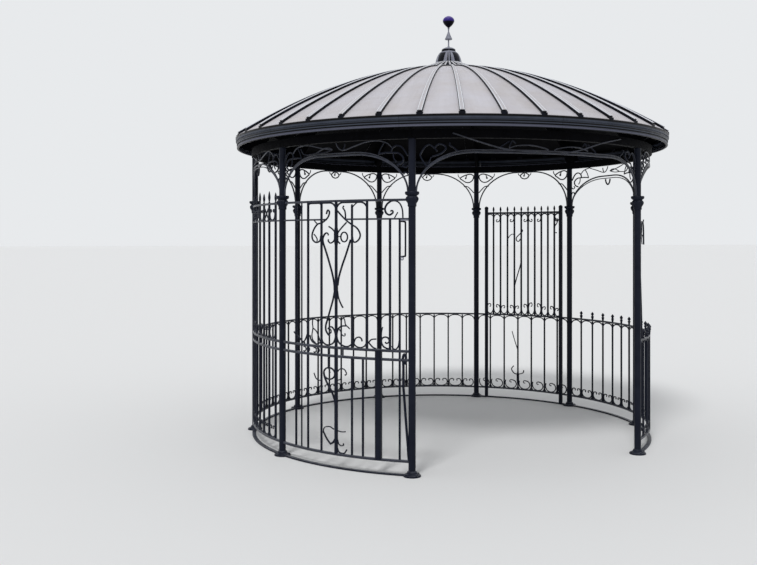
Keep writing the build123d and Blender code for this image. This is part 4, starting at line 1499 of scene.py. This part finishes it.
rib_turns = [2 * pi * (index + 0.5) / rib_count for index in range(rib_count)]
rib_end = eave - 0.0125
rib_bodies = [rib_run(turn, rib_start, rib_end - 0.001, rib_depth / 2 - 0.001) for turn in rib_turns]
rib_caps = [rib_run(turn, rib_start, rib_end, rib_depth) for turn in rib_turns]
rib_edges = [rib_run(turn, rib_start, rib_end, rib_depth, side) for turn in rib_turns for side in edge_sides]
# Near-black rib bodies: painted shade on the ribs' sides.
keep(forged("rib_bodies", rib_bodies, rib_paint, rib_width, rib_depth, 0.004), "roof_ribs", "roof_ribs")
keep(forged("rib_caps", rib_caps, rib_cap_paint, cap_width, cap_depth, 0.0012), "roof_ribs", "roof_ribs")
# Bright edge strips along each cap: a painted highlight.
keep(forged("rib_edges", rib_edges, rib_edge_highlight_paint, edge_width, edge_depth, 0.0015), "roof_ribs", "roof_ribs")

block_width = 0.046
block_depth = 0.026
block_height = 0.023
block_reach = eave - block_depth / 2 + 0.0015
end_blocks = [
    (Vector((block_reach * sin(turn), -block_reach * cos(turn), roof_level(eave) - 0.009)), turn, 1.0)
    for turn in rib_turns
]
end_block = small_block("end_block", block_width, block_depth, block_height, 0.0025)
keep(set_pieces("rib_end_blocks", end_block, end_blocks, rib_paint), "roof_ribs", "roof_ribs")

skirt_steps = 8
skirt_inside = 0.082
skirt_reaches = [skirt_reach + (rib_start - 0.004 - skirt_reach) * index / skirt_steps
                 for index in range(skirt_steps + 1)]
skirt_outline = [(skirt_reach, roof_level(skirt_reach) - 0.003)]
skirt_outline += [(reach, skirt_level(reach) + 0.0006) for reach in skirt_reaches]
skirt_outline.append((skirt_inside, roof_level(skirt_inside) + 0.002))
# The skirt's near-black finial paint is painted shade where the sheets meet the cap.
keep_turned("finial_skirt", skirt_outline, 120, finial_paint, "finial")


# Finial
cap_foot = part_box("finial_cap")[0].z
cap_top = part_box("finial_cap")[1].z
disc_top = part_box("finial_disc")[1].z
ball_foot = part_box("finial_ball")[0].z
ball_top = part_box("finial_ball")[1].z
cap_outline = raised([
    (0.104, 0.012), (0.109, 0.030), (0.1075, 0.044), (0.1045, 0.064), (0.100, 0.086), (0.094, 0.106),
    (0.085, 0.126), (0.073, 0.144), (0.060, 0.156),
], cap_foot) + raised([(0.050, -0.007)], cap_top)
gores = 4
gore_start = -22.5
flute_angles = (-20, 20)
foot_flare = 1.0
head_flare = 0.52

keep_turned("finial_bell", cap_outline, 64, finial_paint, "finial", "finial_cap")


def cap_run(gore, flute, proud, tapered):
    """A run down the cap; a tapered one fans out and widens towards the foot."""
    points, girths, facings = [], [], []
    outline = smooth(cap_outline[1:], 3)
    for index, (radius, level) in enumerate(outline):
        share = 1 - index / (len(outline) - 1)
        fan = head_flare + (foot_flare - head_flare) * share**0.8
        turn = radians(gore_start + gore * 360 / gores + flute * fan)
        away = Vector((sin(turn), -cos(turn), 0))
        points.append(away * (radius + proud) + Vector((0, 0, level)))
        girths.append(fan * radius / cap_outline[1][0] if tapered else full)
        facings.append(away)
    return points, girths, facings, False


flute_width = 0.036
# The pale grey flutes, straps and shoulder are painted highlights on the dark cap.
flutes = [cap_run(gore, flute, 0.001, True) for gore in range(gores) for flute in flute_angles]
keep(forged("finial_cap_flutes", flutes, pale_metal, flute_width, 0.009, 0.003), "finial", "finial_cap")
straps = [cap_run(gore, 0, 0.003, False) for gore in range(gores)]
keep(forged("finial_cap_straps", straps, pale_metal, 0.011, 0.009, 0.0025), "finial", "finial_cap")

shoulder_outline = raised([(0.070, 0.143), (0.0755, 0.1435), (0.0705, 0.150), (0.0625, 0.1565)], cap_foot)
shoulder_outline += raised([(0.054, -0.0095), (0.047, -0.011)], cap_top)
keep_turned("finial_shoulder", shoulder_outline, 48, pale_metal, "finial", "finial_cap")

disc_tip = (0.007, disc_top)
dome_outline = raised([
    (0.049, -0.009), (0.058, -0.010), (0.0600, -0.006), (0.0585, 0.004), (0.052, 0.010), (0.044, 0.016),
    (0.030, 0.022), (0.016, 0.026),
], cap_top)
keep_turned("finial_dome", dome_outline + [disc_tip], 48, finial_paint, "finial", "finial_disc")

dome_top_outline = raised([
    (0.0575, 0.0055), (0.0585, 0.0075), (0.052, 0.0120), (0.044, 0.0175), (0.030, 0.0235), (0.016, 0.0272),
], cap_top)
keep_turned("finial_dome_top", dome_top_outline + [disc_tip], 48, pale_metal, "finial", "finial_disc")

cone_foot = ball_foot - 0.100
stem_outline = raised([(0.010, -0.002), (0.0095, 0.006), (0.0060, 0.010)], disc_top)
stem_outline += raised([
    (0.0058, -0.002), (0.0290, 0), (0.0320, 0.004), (0.0300, 0.008), (0.0190, 0.032), (0.0095, 0.056),
    (0.0052, 0.070),
], cone_foot)
stem_outline += raised([(0.0052, -0.012), (0.0085, -0.008), (0.0085, -0.003), (0.0050, 0.002)], ball_foot)
keep_turned("finial_stem", stem_outline, 24, pale_metal, "finial", "finial_spindle")

# Radii of the drop-shaped ball at shares of its height
ball_radii = [
    (0.0055, 0), (0.0120, 0.06), (0.0270, 0.19), (0.0400, 0.34), (0.0475, 0.48), (0.0500, 0.58),
    (0.0480, 0.69), (0.0410, 0.81), (0.0300, 0.905), (0.0170, 0.970), (0.0060, 0.995),
]
ball_outline = [(radius, ball_foot + (ball_top - ball_foot) * share) for radius, share in ball_radii]
ball_outline.append((0.0006, ball_top))
keep_turned("finial_drop", ball_outline, 48, violet_enamel, "finial_ball", "finial_ball")


# Finishes of the nodes that stay
node_finishes = {
    "ring_beam": roof_frame,
    "rafters": roof_frame,
    "rafter_hub": roof_frame,
    "fascia": fascia_paint,
    "roof_sheets": roof_sheet,
}
node_finishes.update({name: ironwork for name in post_nodes})
for name, finish in node_finishes.items():
    node_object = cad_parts[name]
    for place in range(max(1, len(node_object.material_slots))):
        if node_object.material_slots:
            node_object.material_slots[place].material = finish
        else:
            node_object.data.materials.append(finish)


# Floor, lights and camera
def backdrop_material():
    """A pale floor that keeps the shadow."""
    finish = Finish("pale_floor", 0.8)
    finish.colour((0.78, 0.78, 0.78))
    return finish.material


floor_half = 240.0
floor_mesh = bpy.data.meshes.new("floor")
floor_corners = [(-floor_half, -floor_half, 0), (floor_half, -floor_half, 0), (floor_half, floor_half, 0),
                 (-floor_half, floor_half, 0)]
floor_mesh.from_pydata(floor_corners, [], [(0, 1, 2, 3)])
floor_mesh.materials.append(backdrop_material())
new_object("floor", floor_mesh)


def set_world(light_strength, seen_strength):
    """Soft light from all round, seen as a white background."""
    world = bpy.data.worlds.new("studio")
    bpy.context.scene.world = world
    world.use_nodes = True
    tree = world.node_tree
    shader = tree.nodes["Background"]
    shader.inputs["Color"].default_value = (0.96, 0.98, 1.0, 1.0)
    path = tree.nodes.new("ShaderNodeLightPath").outputs
    seen = path["Is Camera Ray"]
    for ray in ("Is Glossy Ray", "Is Transmission Ray"):
        added = tree.nodes.new("ShaderNodeMath")
        added.use_clamp = True
        tree.links.new(seen, added.inputs[0])
        tree.links.new(path[ray], added.inputs[1])
        seen = added.outputs[0]
    strength = tree.nodes.new("ShaderNodeMapRange")
    strength.inputs["To Min"].default_value = light_strength
    strength.inputs["To Max"].default_value = seen_strength
    tree.links.new(seen, strength.inputs["Value"])
    tree.links.new(strength.outputs["Result"], shader.inputs["Strength"])


def add_sun(strength, angle, direction):
    lamp = bpy.data.lights.new("sun", "SUN")
    lamp.energy = strength
    lamp.angle = angle
    made = bpy.data.objects.new("sun", lamp)
    made.rotation_euler = Vector(direction).to_track_quat("-Z", "Y").to_euler()
    bpy.context.scene.collection.objects.link(made)


set_world(0.62, 0.84)
add_sun(1.5, radians(14), (0.55, 0.65, -1.1))

image_width = 757
image_height = 565
focal_pixels = 918
sensor_width = 36.0
horizon_row = 240
eye = Vector((-3.377, -7.123, 1.61))
look = Vector((0.3584, 0.9336, 0))

camera_data = bpy.data.cameras.new("camera")
camera_data.sensor_width = sensor_width
camera_data.lens = focal_pixels / image_width * sensor_width
camera_data.shift_y = (horizon_row - image_height / 2) / image_width
camera = bpy.data.objects.new("camera", camera_data)
camera.location = eye
camera.rotation_euler = look.to_track_quat("-Z", "Y").to_euler()
bpy.context.scene.collection.objects.link(camera)
bpy.context.scene.camera = camera
bpy.context.scene.view_settings.view_transform = "Standard"
